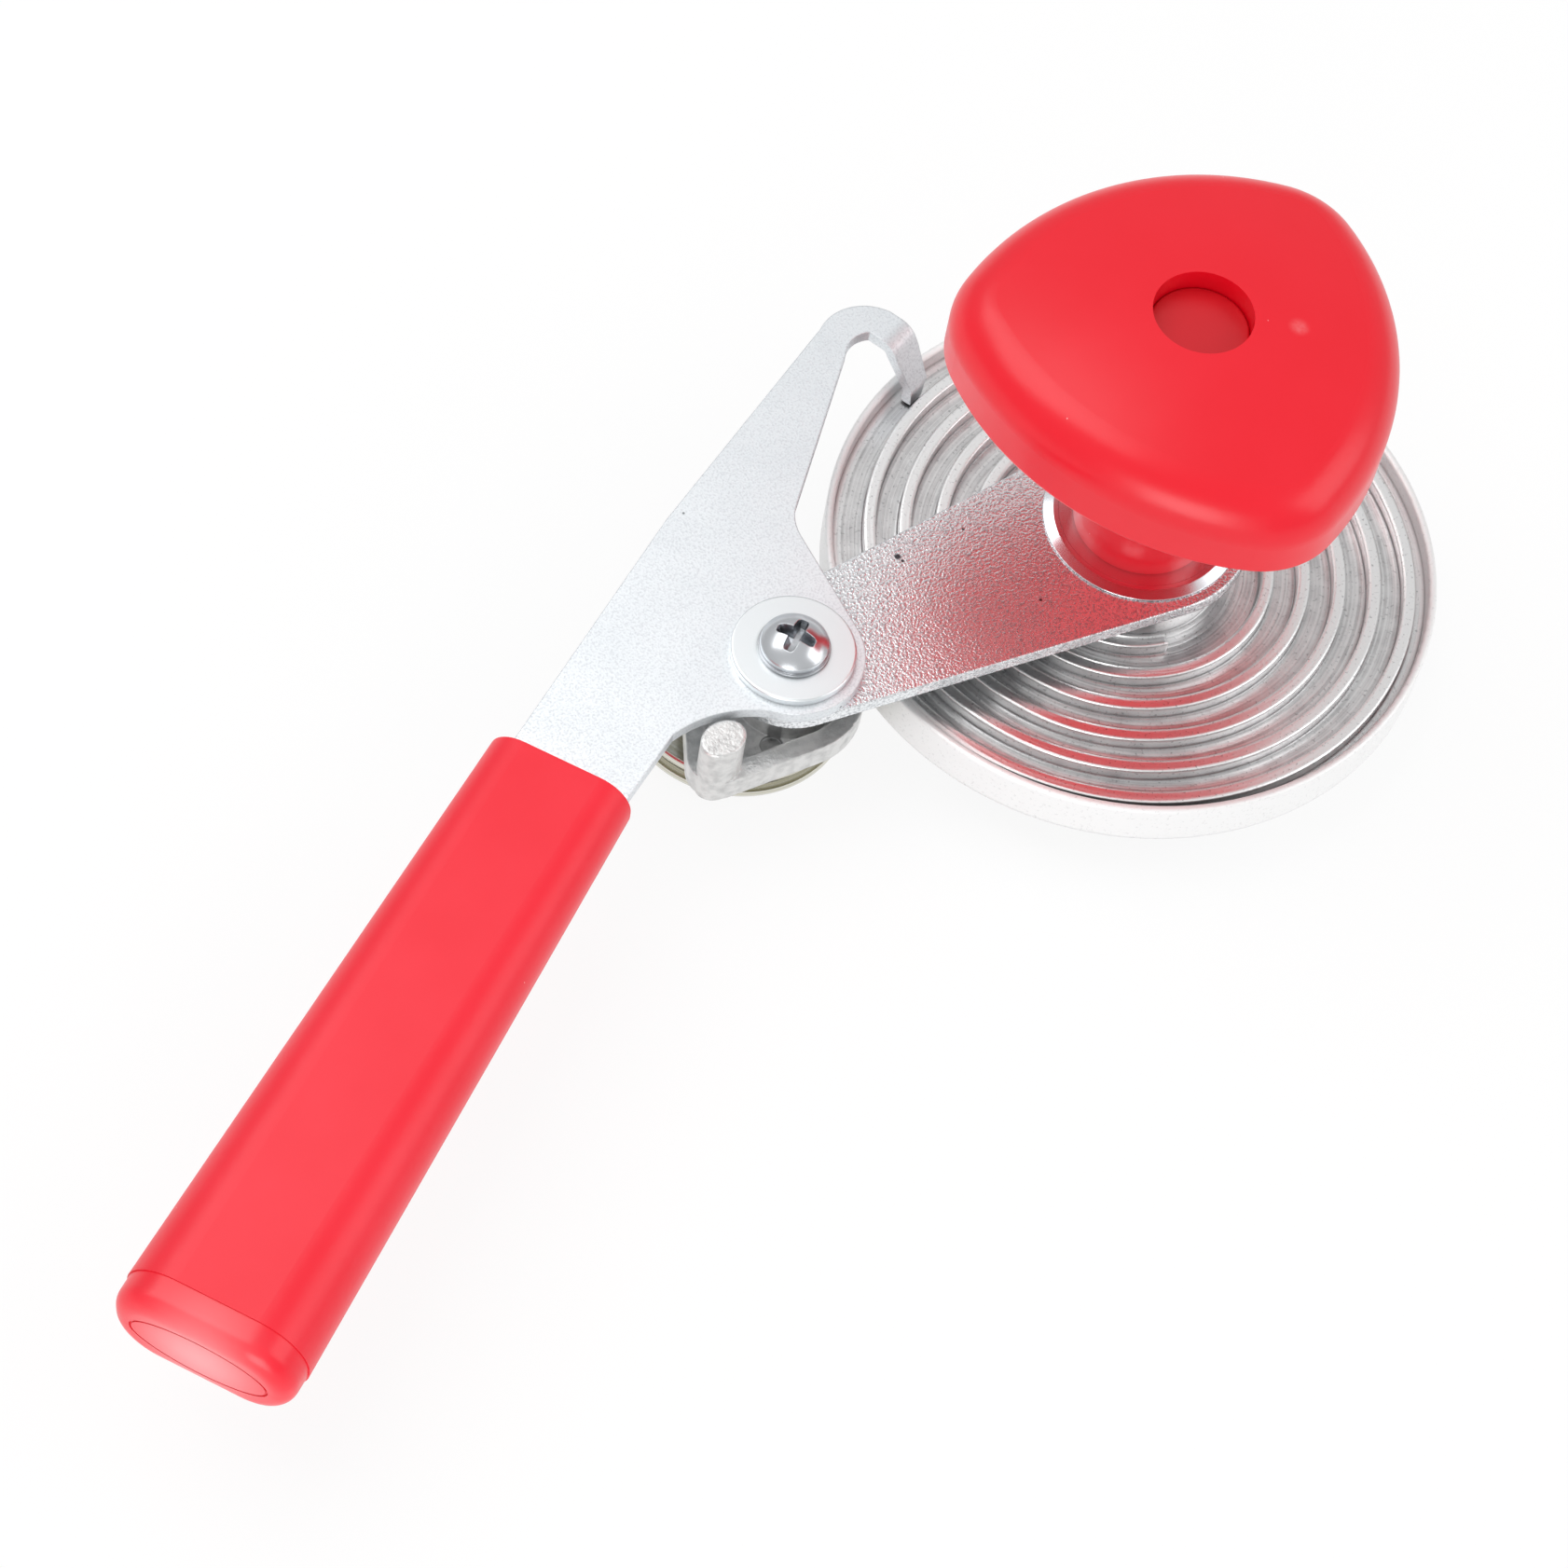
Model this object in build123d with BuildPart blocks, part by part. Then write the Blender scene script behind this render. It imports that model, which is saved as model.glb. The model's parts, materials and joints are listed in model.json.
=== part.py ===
"""Manual can seamer: a cast disc with a spiral groove, a crank arm, a hooked lever and a seaming roller.

Frame: +Z is the seaming axis and points up, the origin lies on that axis in the plane of the disc's
underside, and the crank arm points along -X. All lengths are in millimetres and all angles in degrees.
"""
import os
from math import acos, cos, degrees, pi, radians, sin, sqrt

from build123d import *

os.makedirs("parts", exist_ok=True)

# Gaps between pieces
RUN_GAP = 0.05          # radial gap of a shaft that turns in its bore
SLIP_GAP = 0.05         # gap round a piece that is pushed into another and stays
FACE_GAP = 0.05         # gap between faces that slide over each other
BOLT_HOLE_GAP = 0.2     # radial gap of a bolt in its hole

# Cast disc
DISC_RADIUS = 47.5
DISC_HEIGHT = 7.5
RIM_WIDTH = 1.3
CHANNEL_FLOOR_Z = 4.6
RIDGE_TOP_Z = 7.0
RIDGE_WIDTH = 1.9
LID_RIM_WIDTH = 3.0      # land between the lid recess and the disc's outer wall
LID_RECESS_DEPTH = 2.6
HUB_RADIUS = 14.0
HUB_TOP_Z = 12.5
SPIGOT_RADIUS = 8.0
DISC_EDGE_RADIUS = 0.4

# Crank arm
ARM_THICKNESS = 2.3
ARM_EYE_RADIUS = 17.0
ARM_TIP_RADIUS = 10.5
ARM_BUSH_WALL = 1.0
THRUST_WASHER_THICKNESS = 0.45
THRUST_WASHER_RADIUS = 13.5

# Pressed cup washer on top of the arm
CUP_RADIUS = 15.2
CUP_LIP_RADIUS = 13.7
CUP_LIP_WIDTH = 0.8
CUP_LIP_RISE = 0.35
CUP_THICKNESS = 0.5

# Knob
KNOB_CORNER_RADIUS = 14.0
KNOB_CORNER_OFFSET = 21.2
KNOB_SIDE_DISTANCE = 30.1
KNOB_TURN = 24.6
KNOB_CORNERS = 3
HEXAGON_SIDES = 6
KNOB_BOTTOM_Z = 49.7
KNOB_TOP_Z = 65.8
KNOB_CROWN_RADIUS = 136.0
KNOB_SHOULDER_RADIUS = 7.5
KNOB_LOWER_EDGE_RADIUS = 0.8
KNOB_CROWN_MARGIN = 1.3
STEM_BASE_RADIUS = 10.6
STEM_TOP_RADIUS = 9.8
STEM_FILLET = 5.0
KNOB_HOLE_RADIUS = 7.35
PLUG_DEPTH = 3.6
PLUG_THICKNESS = 2.5

# Centre bolt and nut
CENTRE_BOLT_RADIUS = 4.0
CENTRE_HEAD_RADIUS = 6.5
CENTRE_HEAD_HEIGHT = 6.0
CENTRE_SOCKET_ACROSS = 6.0
CENTRE_SOCKET_DEPTH = 3.5
HEAD_TO_PLUG_GAP = 0.3
CENTRE_WASHER_THICKNESS = 1.0
LOCK_WASHER_THICKNESS = 1.6
LOCK_WASHER_WIDTH = 2.0
LOCK_WASHER_SLIT = 0.8
CENTRE_NUT_ACROSS = 13.0
CENTRE_NUT_HEIGHT = 6.5
CENTRE_NUT_INSET = 0.4
SLEEVE_RADIUS = 6.0

# Lever plate, in its own frame: x along the grip towards the hook, y to the outer side, origin at the pivot
LEVER_ANGLE = 35.1
PLATE_THICKNESS = 2.0
PLATE_OUTER_ROOT = (-36.0, 28.5)
PLATE_OUTER_MIDDLE = (12.0, 26.9)
PLATE_INNER_BEND = (21.4, 10.6)
PLATE_BEND_RADIUS = 8.0
PLATE_EYE_RADIUS = 10.8
NOTCH_ANGLE = 188.0
NOTCH_MIDDLE = (-14.7, 4.5)
NOTCH_END = (-21.4, 8.9)
NOTCH_CORNER_RADIUS = 1.2
PLATE_INNER_ROOT = (-36.0, 9.8)
TANG_LENGTH = 78.0
TANG_WIDTH = 15.0

# Follower finger, bent down at the end of the hook to ride in the spiral groove
GROOVE_RIM_INSET = 2.37
FINGER_OFFSET_ANGLE = 6.9
FINGER_THICKNESS = 1.8
FINGER_TIP_WIDTH = 3.0
FINGER_TOP_WIDTH = 5.4
FINGER_LEAN = 4.2
FINGER_KNEE_Z = 8.9
FINGER_FLOOR_GAP = 0.5
FINGER_TURN = 10.7
FINGER_ROOT_LENGTH = 3.7
FINGER_TAPER_HEIGHT = 1.0
FINGER_OUTER_BEND = 3.4
FINGER_INNER_BEND = 0.8
FEED_PER_TURN = 5.34

# Hook round the finger, as steps from the finger's foot in the lever's frame
HOOK_OUTER_STEP = (-4.5, 15.2)
HOOK_SHOULDER_STEP = (1.5, 13.2)
HOOK_THROAT_STEP = (-3.4, 9.9)
HOOK_HEEL_STEP = (-6.8, 9.7)

# Spiral ridge between the turns of the groove
RIDGE_LEAD_IN = 112.0
RIDGE_STEP = 30.0
RIDGE_HUB_GAP = 2.6
RIDGE_ROOT_DEPTH = 0.5

# Grip
GRIP_AXIS_Y = 19.6
GRIP_ROOT_X = -36.0
GRIP_LENGTH = 96.9
GRIP_ROOT_WIDTH = 22.6
GRIP_ROOT_THICKNESS = 11.5
GRIP_ROOT_CORNER = 5.2
GRIP_END_WIDTH = 27.4
GRIP_END_THICKNESS = 16.0
GRIP_END_CORNER = 7.6
GRIP_SOCKET_DEPTH = 8.0
GRIP_SOCKET_WALL = 2.6
END_CAP_LENGTH = 5.2
END_CAP_STEP = 0.2
END_CAP_EDGE_RADIUS = 2.8
END_CAP_PANEL_INSET = 3.3
END_CAP_PANEL_GROOVE = 0.35
END_CAP_PANEL_DEPTH = 0.3

# Pivot screw stack
PIVOT_SCREW_RADIUS = 3.0
PIVOT_BUSH_RADIUS = 5.0
PIVOT_WASHER_RADIUS = 9.3
PIVOT_WASHER_THICKNESS = 1.4
PIVOT_HEAD_RADIUS = 5.1
PIVOT_HEAD_HEIGHT = 3.9
PIVOT_CROWN_HEIGHT = 2.4
PIVOT_HEAD_EDGE_RADIUS = 0.5
PIVOT_FLANGE_RADIUS = 5.4
PIVOT_FLANGE_HEIGHT = 0.5
PIVOT_SLOT_LENGTH = 6.4
PIVOT_SLOT_WIDTH = 2.0
PIVOT_SLOT_CORNER = 0.5
PIVOT_SLOT_DEPTH = 2.6
PIVOT_SLOT_TAPER = 12.0
PIVOT_SCREW_INSET = 0.6

# Roller carrier, in the lever's frame
CARRIER_DISC_GAP = 1.8   # room between the disc's wall and the carrier, in any pose
CARRIER_BOTTOM_Z = 4.2
CARRIER_FLOOR = 1.6
CARRIER_RIM_HEIGHT = 4.2
CARRIER_RIM_WIDTH = 3.0
CARRIER_PIVOT_RADIUS = 11.8
CARRIER_PEG_LOBE = (-16.2, 3.3)
CARRIER_PEG_LOBE_RADIUS = 4.6
CARRIER_AXLE_RADIUS = 9.5
CARRIER_BOSS_RADIUS = 7.6
AXLE_PAD_RADIUS = 7.0
AXLE_PAD_HEIGHT = 2.8
AXLE_PAD_COVER = 0.8
PEG_X = -17.6
PEG_Y = 2.5
PEG_LENGTH = 7.4
PEG_WIDTH = 5.8
PEG_EDGE_RADIUS = 0.4
PEG_TURN = -20.0
PEG_PLATE_OVERLAP = 0.9
EJECTOR_X = -8.8
EJECTOR_Y = -2.1
EJECTOR_RADIUS = 1.7
EJECTOR_DEPTH = 0.6

# Seaming roller, its axle and its bearing
ROLLER_X = 3.1
ROLLER_Y = 8.5
ROLLER_RADIUS = 17.4
ROLLER_TOP_Z = -0.6
ROLLER_HEIGHT = 5.4
ROLLER_FLANGE = 1.5
ROLLER_GROOVE_DEPTH = 2.4
ROLLER_EDGE = 0.3
ROLLER_FACE_RECESS = 0.5
ROLLER_RIM_LAND = 4.0
ROLLER_HUB_LAND = 9.5
JOURNAL_RADIUS = 5.0
ROLLER_BUSH_WALL = 1.5
AXLE_SHANK_RADIUS = 4.0
ROLLER_WASHER_THICKNESS = 0.8
ROLLER_WASHER_RADIUS = 8.0
CIRCLIP_THICKNESS = 0.9
CIRCLIP_RADIUS = 6.6
CIRCLIP_GROOVE_DEPTH = 0.7
CIRCLIP_OPENING = 5.0
AXLE_END_LENGTH = 0.5

# Small shares of round-offs
PLATE_EDGE_RADIUS = 0.3
FASTENER_CHAMFER = 0.4

# Radii and lengths that follow from the sizes
rim_inner_radius = DISC_RADIUS - RIM_WIDTH
lid_recess_radius = DISC_RADIUS - LID_RIM_WIDTH
arm_length = DISC_RADIUS + CARRIER_DISC_GAP + CARRIER_PIVOT_RADIUS

# Levels that follow from the sizes
arm_bottom_z = HUB_TOP_Z + THRUST_WASHER_THICKNESS + FACE_GAP
arm_top_z = arm_bottom_z + ARM_THICKNESS
cup_bottom_z = arm_top_z + FACE_GAP
cup_top_z = cup_bottom_z + CUP_THICKNESS
plate_bottom_z = arm_top_z + FACE_GAP
plate_top_z = plate_bottom_z + PLATE_THICKNESS
plate_middle_z = plate_bottom_z + PLATE_THICKNESS / 2
washer_top_z = plate_top_z + PIVOT_WASHER_THICKNESS
finger_tip_z = CHANNEL_FLOOR_Z + FINGER_FLOOR_GAP
carrier_boss_top_z = arm_bottom_z - FACE_GAP
carrier_floor_z = CARRIER_BOTTOM_Z + CARRIER_FLOOR
peg_top_z = plate_bottom_z + PEG_PLATE_OVERLAP
roller_bottom_z = ROLLER_TOP_Z - ROLLER_HEIGHT
upper_roller_washer_z = ROLLER_TOP_Z + FACE_GAP
axle_boss_bottom_z = upper_roller_washer_z + ROLLER_WASHER_THICKNESS
lower_roller_washer_top_z = roller_bottom_z - FACE_GAP
circlip_top_z = lower_roller_washer_top_z - ROLLER_WASHER_THICKNESS
circlip_bottom_z = circlip_top_z - CIRCLIP_THICKNESS
axle_bottom_z = circlip_bottom_z - AXLE_END_LENGTH
plug_top_z = KNOB_TOP_Z - PLUG_DEPTH
plug_bottom_z = plug_top_z - PLUG_THICKNESS
centre_head_top_z = plug_bottom_z - HEAD_TO_PLUG_GAP
centre_head_bottom_z = centre_head_top_z - CENTRE_HEAD_HEIGHT
centre_washer_top_z = centre_head_bottom_z - LOCK_WASHER_THICKNESS
sleeve_top_z = centre_washer_top_z - CENTRE_WASHER_THICKNESS
centre_nut_bottom_z = LID_RECESS_DEPTH + CENTRE_NUT_INSET
centre_nut_top_z = centre_nut_bottom_z + CENTRE_NUT_HEIGHT

# The lever's own plane, and the places of the pivot and the roller
lever_plane = Plane(
    origin=(-arm_length, 0, 0),
    x_dir=(cos(radians(LEVER_ANGLE)), sin(radians(LEVER_ANGLE)), 0),
    z_dir=(0, 0, 1),
)


def lever_level(z):
    """The lever's plane raised to a height above the disc's underside."""
    return lever_plane.offset(z)


def lever_point(x, y, z=0):
    """A point given in the lever's frame, in the frame of the whole part."""
    return lever_plane.from_local_coords(Vector(x, y, z))


def level_at(point, z):
    """A level plane whose origin stands above or below a point."""
    return Plane(origin=(point.X, point.Y, z), z_dir=(0, 0, 1))


pivot = lever_point(0, 0)
roller_centre = lever_point(ROLLER_X, ROLLER_Y)


def ring(inner_radius, outer_radius, bottom_z, top_z, centre):
    """Draw a flat ring and extrude it between two levels, in the open part."""
    with BuildSketch(level_at(centre, bottom_z)) as outline:
        Circle(outer_radius)
        Circle(inner_radius, mode=Mode.SUBTRACT)
    extrude(outline.sketch, amount=top_z - bottom_z)


def hexagon_radius(across_flats):
    """The radius of a hexagon's corners from its width across the flats."""
    return across_flats / 2 / cos(pi / HEXAGON_SIDES)


# The follower's path over the disc as the arm turns: the groove's middle line
full_turn = 360.0
half_turn = full_turn / 2
finger_angle = LEVER_ANGLE + FINGER_OFFSET_ANGLE
groove_first_radius = rim_inner_radius - GROOVE_RIM_INSET
axis_distance = arm_length * sin(radians(finger_angle))
finger_reach = arm_length * cos(radians(finger_angle)) + sqrt(groove_first_radius**2 - axis_distance**2)
finger_x = finger_reach * cos(radians(FINGER_OFFSET_ANGLE))
finger_y = finger_reach * sin(radians(FINGER_OFFSET_ANGLE))


def follower_point(arm_turn):
    """Where the finger stands over the disc once the arm has turned by so many degrees."""
    swing = radians(finger_angle - FEED_PER_TURN * arm_turn / full_turn)
    over_arm = Vector(finger_reach * cos(swing) - arm_length, finger_reach * sin(swing))
    return over_arm.rotate(Axis.Z, arm_turn)


def turn_at_radius(radius):
    """The arm's turn at which the finger stands at a radius of the disc."""
    share = (arm_length**2 + finger_reach**2 - radius**2) / (2 * arm_length * finger_reach)
    return (finger_angle - degrees(acos(share))) * full_turn / FEED_PER_TURN


def ridge_point(arm_turn, shift):
    """A point of the spiral ridge, which runs half a turn away from the groove, moved outwards by a shift."""
    middle = follower_point(arm_turn).rotate(Axis.Z, half_turn)
    return middle + middle.normalized() * shift


ridge_first_turn = -RIDGE_LEAD_IN
ridge_last_turn = turn_at_radius(HUB_RADIUS + RIDGE_HUB_GAP)
ridge_steps = round((ridge_last_turn - ridge_first_turn) / RIDGE_STEP)
ridge_step = (ridge_last_turn - ridge_first_turn) / ridge_steps
ridge_turns = [ridge_first_turn + ridge_step * step for step in range(ridge_steps + 1)]

# Cast disc with the spiral ridge on top and the lid recess below
ridge_root_z = CHANNEL_FLOOR_Z - RIDGE_ROOT_DEPTH
with BuildPart() as seaming_disc:
    with BuildSketch():
        Circle(DISC_RADIUS)
    extrude(amount=DISC_HEIGHT)
    with BuildSketch(Plane.XY.offset(CHANNEL_FLOOR_Z)):
        Circle(rim_inner_radius)
    extrude(amount=DISC_HEIGHT - CHANNEL_FLOOR_Z, mode=Mode.SUBTRACT)
    rim_edges = seaming_disc.edges().filter_by(GeomType.CIRCLE).filter_by(
        lambda edge: edge.radius > rim_inner_radius - RUN_GAP
    )
    fillet(rim_edges.group_by(Axis.Z)[-1], radius=DISC_EDGE_RADIUS)
    with BuildSketch(Plane.XY.offset(ridge_root_z)):
        with BuildLine():
            outer_side = Spline([ridge_point(turn, RIDGE_WIDTH / 2) for turn in ridge_turns])
            inner_side = Spline([ridge_point(turn, -RIDGE_WIDTH / 2) for turn in ridge_turns])
            Line(outer_side @ 0, inner_side @ 0)
            Line(outer_side @ 1, inner_side @ 1)
        make_face()
    extrude(amount=RIDGE_TOP_Z - ridge_root_z, dir=(0, 0, 1))
    with BuildSketch(Plane.XY.offset(CHANNEL_FLOOR_Z)):
        Circle(HUB_RADIUS)
    extrude(amount=HUB_TOP_Z - CHANNEL_FLOOR_Z)
    with BuildSketch(Plane.XY.offset(HUB_TOP_Z)):
        Circle(SPIGOT_RADIUS)
    extrude(amount=cup_bottom_z - HUB_TOP_Z)
    with BuildSketch():
        Circle(lid_recess_radius)
    extrude(amount=LID_RECESS_DEPTH, mode=Mode.SUBTRACT)
    with BuildSketch(Plane.XY.offset(LID_RECESS_DEPTH)):
        RegularPolygon(hexagon_radius(CENTRE_NUT_ACROSS) + SLIP_GAP, HEXAGON_SIDES)
    extrude(amount=centre_nut_top_z - LID_RECESS_DEPTH, mode=Mode.SUBTRACT)
    with BuildSketch(Plane.XY.offset(LID_RECESS_DEPTH)):
        Circle(CENTRE_BOLT_RADIUS + BOLT_HOLE_GAP)
    extrude(amount=cup_bottom_z - LID_RECESS_DEPTH, mode=Mode.SUBTRACT)
seaming_disc.part.label = "seaming_disc"
export_step(seaming_disc.part, "parts/seaming_disc.step")

# Thrust washer between the hub and the arm
axis_foot = Vector(0, 0, 0)
with BuildPart() as thrust_washer:
    thrust_top_z = HUB_TOP_Z + THRUST_WASHER_THICKNESS
    ring(SPIGOT_RADIUS + RUN_GAP, THRUST_WASHER_RADIUS, HUB_TOP_Z, thrust_top_z, axis_foot)
thrust_washer.part.label = "thrust_washer"
export_step(thrust_washer.part, "parts/thrust_washer.step")

# Crank arm
arm_bush_radius = SPIGOT_RADIUS + RUN_GAP + ARM_BUSH_WALL
with BuildPart() as crank_arm:
    with BuildSketch(Plane.XY.offset(arm_bottom_z)):
        Circle(ARM_EYE_RADIUS)
        with Locations((-arm_length, 0)):
            Circle(ARM_TIP_RADIUS)
        make_hull()
    extrude(amount=ARM_THICKNESS)
    fillet(crank_arm.faces().filter_by(Axis.Z).edges(), radius=PLATE_EDGE_RADIUS)
    with BuildSketch(Plane.XY.offset(arm_bottom_z)):
        Circle(arm_bush_radius + SLIP_GAP)
        with Locations((-arm_length, 0)):
            Circle(PIVOT_BUSH_RADIUS + RUN_GAP)
    extrude(amount=ARM_THICKNESS, mode=Mode.SUBTRACT)
crank_arm.part.label = "crank_arm"
export_step(crank_arm.part, "parts/crank_arm.step")

# Bush in the arm's eye
with BuildPart() as arm_bush:
    ring(SPIGOT_RADIUS + RUN_GAP, arm_bush_radius, arm_bottom_z, arm_top_z, axis_foot)
arm_bush.part.label = "arm_bush"
export_step(arm_bush.part, "parts/arm_bush.step")

# Pressed cup washer: a flat floor, a raised lip and a flange that turns down to the arm
cup_lip_inner = CUP_LIP_RADIUS - CUP_LIP_WIDTH
cup_bore_radius = CENTRE_BOLT_RADIUS + BOLT_HOLE_GAP
with BuildPart() as cup_washer:
    with BuildSketch(Plane.XZ):
        with BuildLine():
            Polyline(
                (cup_bore_radius, cup_bottom_z),
                (CUP_RADIUS, cup_bottom_z),
                (CUP_RADIUS, cup_bottom_z + CUP_THICKNESS / 2),
                (CUP_LIP_RADIUS, cup_top_z + CUP_LIP_RISE),
                (cup_lip_inner, cup_top_z + CUP_LIP_RISE),
                (cup_lip_inner, cup_top_z),
                (cup_bore_radius, cup_top_z),
                close=True,
            )
        make_face()
    revolve(axis=Axis.Z)
cup_washer.part.label = "cup_washer"
export_step(cup_washer.part, "parts/cup_washer.step")

# Knob with its stem, moulded in one piece
corner_reach = KNOB_SIDE_DISTANCE - KNOB_CORNER_RADIUS
side_centre_offset = (KNOB_CORNER_OFFSET**2 - corner_reach**2) / (2 * corner_reach - KNOB_CORNER_OFFSET)
side_radius = KNOB_SIDE_DISTANCE + side_centre_offset
corner_spacing = full_turn / KNOB_CORNERS


def polar(radius, angle):
    """A point of the plane at a radius and an angle."""
    return Vector(radius * cos(radians(angle)), radius * sin(radians(angle)))


def knob_joint(corner_angle, side_angle):
    """The point where a corner's arc passes into a side's arc."""
    corner_middle = polar(KNOB_CORNER_OFFSET, corner_angle)
    side_middle = polar(-side_centre_offset, side_angle)
    outward = (corner_middle - side_middle).normalized()
    return corner_middle + outward * KNOB_CORNER_RADIUS


with BuildPart() as knob:
    with BuildSketch(Plane.XY.offset(KNOB_BOTTOM_Z)):
        with BuildLine():
            for corner in range(KNOB_CORNERS):
                corner_angle = KNOB_TURN + corner * corner_spacing
                side_before = corner_angle - corner_spacing / 2
                side_after = corner_angle + corner_spacing / 2
                corner_start = knob_joint(corner_angle, side_before)
                corner_end = knob_joint(corner_angle, side_after)
                corner_tip = polar(KNOB_CORNER_OFFSET + KNOB_CORNER_RADIUS, corner_angle)
                ThreePointArc(corner_start, corner_tip, corner_end)
                side_end = knob_joint(corner_angle + corner_spacing, side_after)
                ThreePointArc(corner_end, polar(KNOB_SIDE_DISTANCE, side_after), side_end)
        make_face()
    extrude(amount=KNOB_TOP_Z - KNOB_BOTTOM_Z)
    crown_middle_z = KNOB_TOP_Z - KNOB_CROWN_RADIUS
    knob_reach = KNOB_CORNER_OFFSET + KNOB_CORNER_RADIUS + KNOB_CROWN_MARGIN
    crown_edge_z = crown_middle_z + sqrt(KNOB_CROWN_RADIUS**2 - knob_reach**2)
    with BuildSketch(Plane.XZ):
        with BuildLine():
            RadiusArc((0, KNOB_TOP_Z), (knob_reach, crown_edge_z), KNOB_CROWN_RADIUS)
            Polyline(
                (knob_reach, crown_edge_z),
                (knob_reach, KNOB_BOTTOM_Z),
                (0, KNOB_BOTTOM_Z),
                (0, KNOB_TOP_Z),
            )
        make_face()
    revolve(axis=Axis.Z, mode=Mode.INTERSECT)
    fillet(knob.faces().sort_by(Axis.Z)[-1].edges(), radius=KNOB_SHOULDER_RADIUS)
    fillet(knob.faces().sort_by(Axis.Z)[0].edges(), radius=KNOB_LOWER_EDGE_RADIUS)
    with BuildSketch(Plane.XZ):
        with BuildLine():
            Polyline(
                (0, KNOB_BOTTOM_Z + KNOB_LOWER_EDGE_RADIUS),
                (0, cup_top_z),
                (STEM_BASE_RADIUS, cup_top_z),
                (STEM_TOP_RADIUS, KNOB_BOTTOM_Z - STEM_FILLET),
            )
            RadiusArc(
                (STEM_TOP_RADIUS, KNOB_BOTTOM_Z - STEM_FILLET),
                (STEM_TOP_RADIUS + STEM_FILLET, KNOB_BOTTOM_Z),
                STEM_FILLET,
            )
            Polyline(
                (STEM_TOP_RADIUS + STEM_FILLET, KNOB_BOTTOM_Z),
                (STEM_TOP_RADIUS + STEM_FILLET, KNOB_BOTTOM_Z + KNOB_LOWER_EDGE_RADIUS),
                (0, KNOB_BOTTOM_Z + KNOB_LOWER_EDGE_RADIUS),
            )
        make_face()
    revolve(axis=Axis.Z)
    with BuildSketch(Plane.XY.offset(sleeve_top_z)):
        Circle(KNOB_HOLE_RADIUS)
    extrude(amount=KNOB_TOP_Z - sleeve_top_z, mode=Mode.SUBTRACT)
    with BuildSketch(Plane.XY.offset(cup_top_z)):
        Circle(SLEEVE_RADIUS + SLIP_GAP)
    extrude(amount=sleeve_top_z - cup_top_z, mode=Mode.SUBTRACT)
knob.part.label = "knob"
export_step(knob.part, "parts/knob.step")

# Plug that hides the bolt's head in the knob
with BuildPart() as knob_plug:
    with BuildSketch(Plane.XY.offset(plug_bottom_z)):
        Circle(KNOB_HOLE_RADIUS - SLIP_GAP)
    extrude(amount=PLUG_THICKNESS)
    fillet(knob_plug.edges().group_by(Axis.Z)[-1], radius=FASTENER_CHAMFER)
knob_plug.part.label = "knob_plug"
export_step(knob_plug.part, "parts/knob_plug.step")

# Spacer sleeve inside the stem, which takes the bolt's clamping load
with BuildPart() as spacer_sleeve:
    ring(CENTRE_BOLT_RADIUS + BOLT_HOLE_GAP, SLEEVE_RADIUS, cup_top_z, sleeve_top_z, axis_foot)
spacer_sleeve.part.label = "spacer_sleeve"
export_step(spacer_sleeve.part, "parts/spacer_sleeve.step")

# Washer under the centre bolt's head
with BuildPart() as centre_washer:
    bolt_hole_radius = CENTRE_BOLT_RADIUS + BOLT_HOLE_GAP
    ring(bolt_hole_radius, KNOB_HOLE_RADIUS - SLIP_GAP, sleeve_top_z, centre_washer_top_z, axis_foot)
centre_washer.part.label = "centre_washer"
export_step(centre_washer.part, "parts/centre_washer.step")

# Split lock washer between the flat washer and the bolt's head
lock_washer_inner = CENTRE_BOLT_RADIUS + BOLT_HOLE_GAP
lock_washer_radius = lock_washer_inner + LOCK_WASHER_WIDTH
with BuildPart() as lock_washer:
    with BuildSketch(Plane.XY.offset(centre_washer_top_z)):
        Circle(lock_washer_radius)
        Circle(lock_washer_inner, mode=Mode.SUBTRACT)
        with Locations((lock_washer_radius / 2, 0)):
            Rectangle(lock_washer_radius, LOCK_WASHER_SLIT, mode=Mode.SUBTRACT)
    extrude(amount=LOCK_WASHER_THICKNESS)
lock_washer.part.label = "lock_washer"
export_step(lock_washer.part, "parts/lock_washer.step")

# Centre bolt with a socket head
with BuildPart() as centre_bolt:
    with BuildSketch(Plane.XY.offset(centre_nut_bottom_z)):
        Circle(CENTRE_BOLT_RADIUS)
    extrude(amount=centre_head_bottom_z - centre_nut_bottom_z)
    chamfer(centre_bolt.edges().group_by(Axis.Z)[0], length=FASTENER_CHAMFER)
    with BuildSketch(Plane.XY.offset(centre_head_bottom_z)):
        Circle(CENTRE_HEAD_RADIUS)
    extrude(amount=CENTRE_HEAD_HEIGHT)
    chamfer(centre_bolt.edges().group_by(Axis.Z)[-1], length=FASTENER_CHAMFER)
    with BuildSketch(Plane.XY.offset(centre_head_top_z)):
        RegularPolygon(hexagon_radius(CENTRE_SOCKET_ACROSS), HEXAGON_SIDES)
    extrude(amount=-CENTRE_SOCKET_DEPTH, mode=Mode.SUBTRACT)
centre_bolt.part.label = "centre_bolt"
export_step(centre_bolt.part, "parts/centre_bolt.step")

# Nut in the disc's underside
with BuildPart() as centre_nut:
    with BuildSketch(Plane.XY.offset(centre_nut_bottom_z)):
        RegularPolygon(hexagon_radius(CENTRE_NUT_ACROSS), HEXAGON_SIDES)
        Circle(CENTRE_BOLT_RADIUS + SLIP_GAP, mode=Mode.SUBTRACT)
    extrude(amount=CENTRE_NUT_HEIGHT)
centre_nut.part.label = "centre_nut"
export_step(centre_nut.part, "parts/centre_nut.step")

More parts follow.
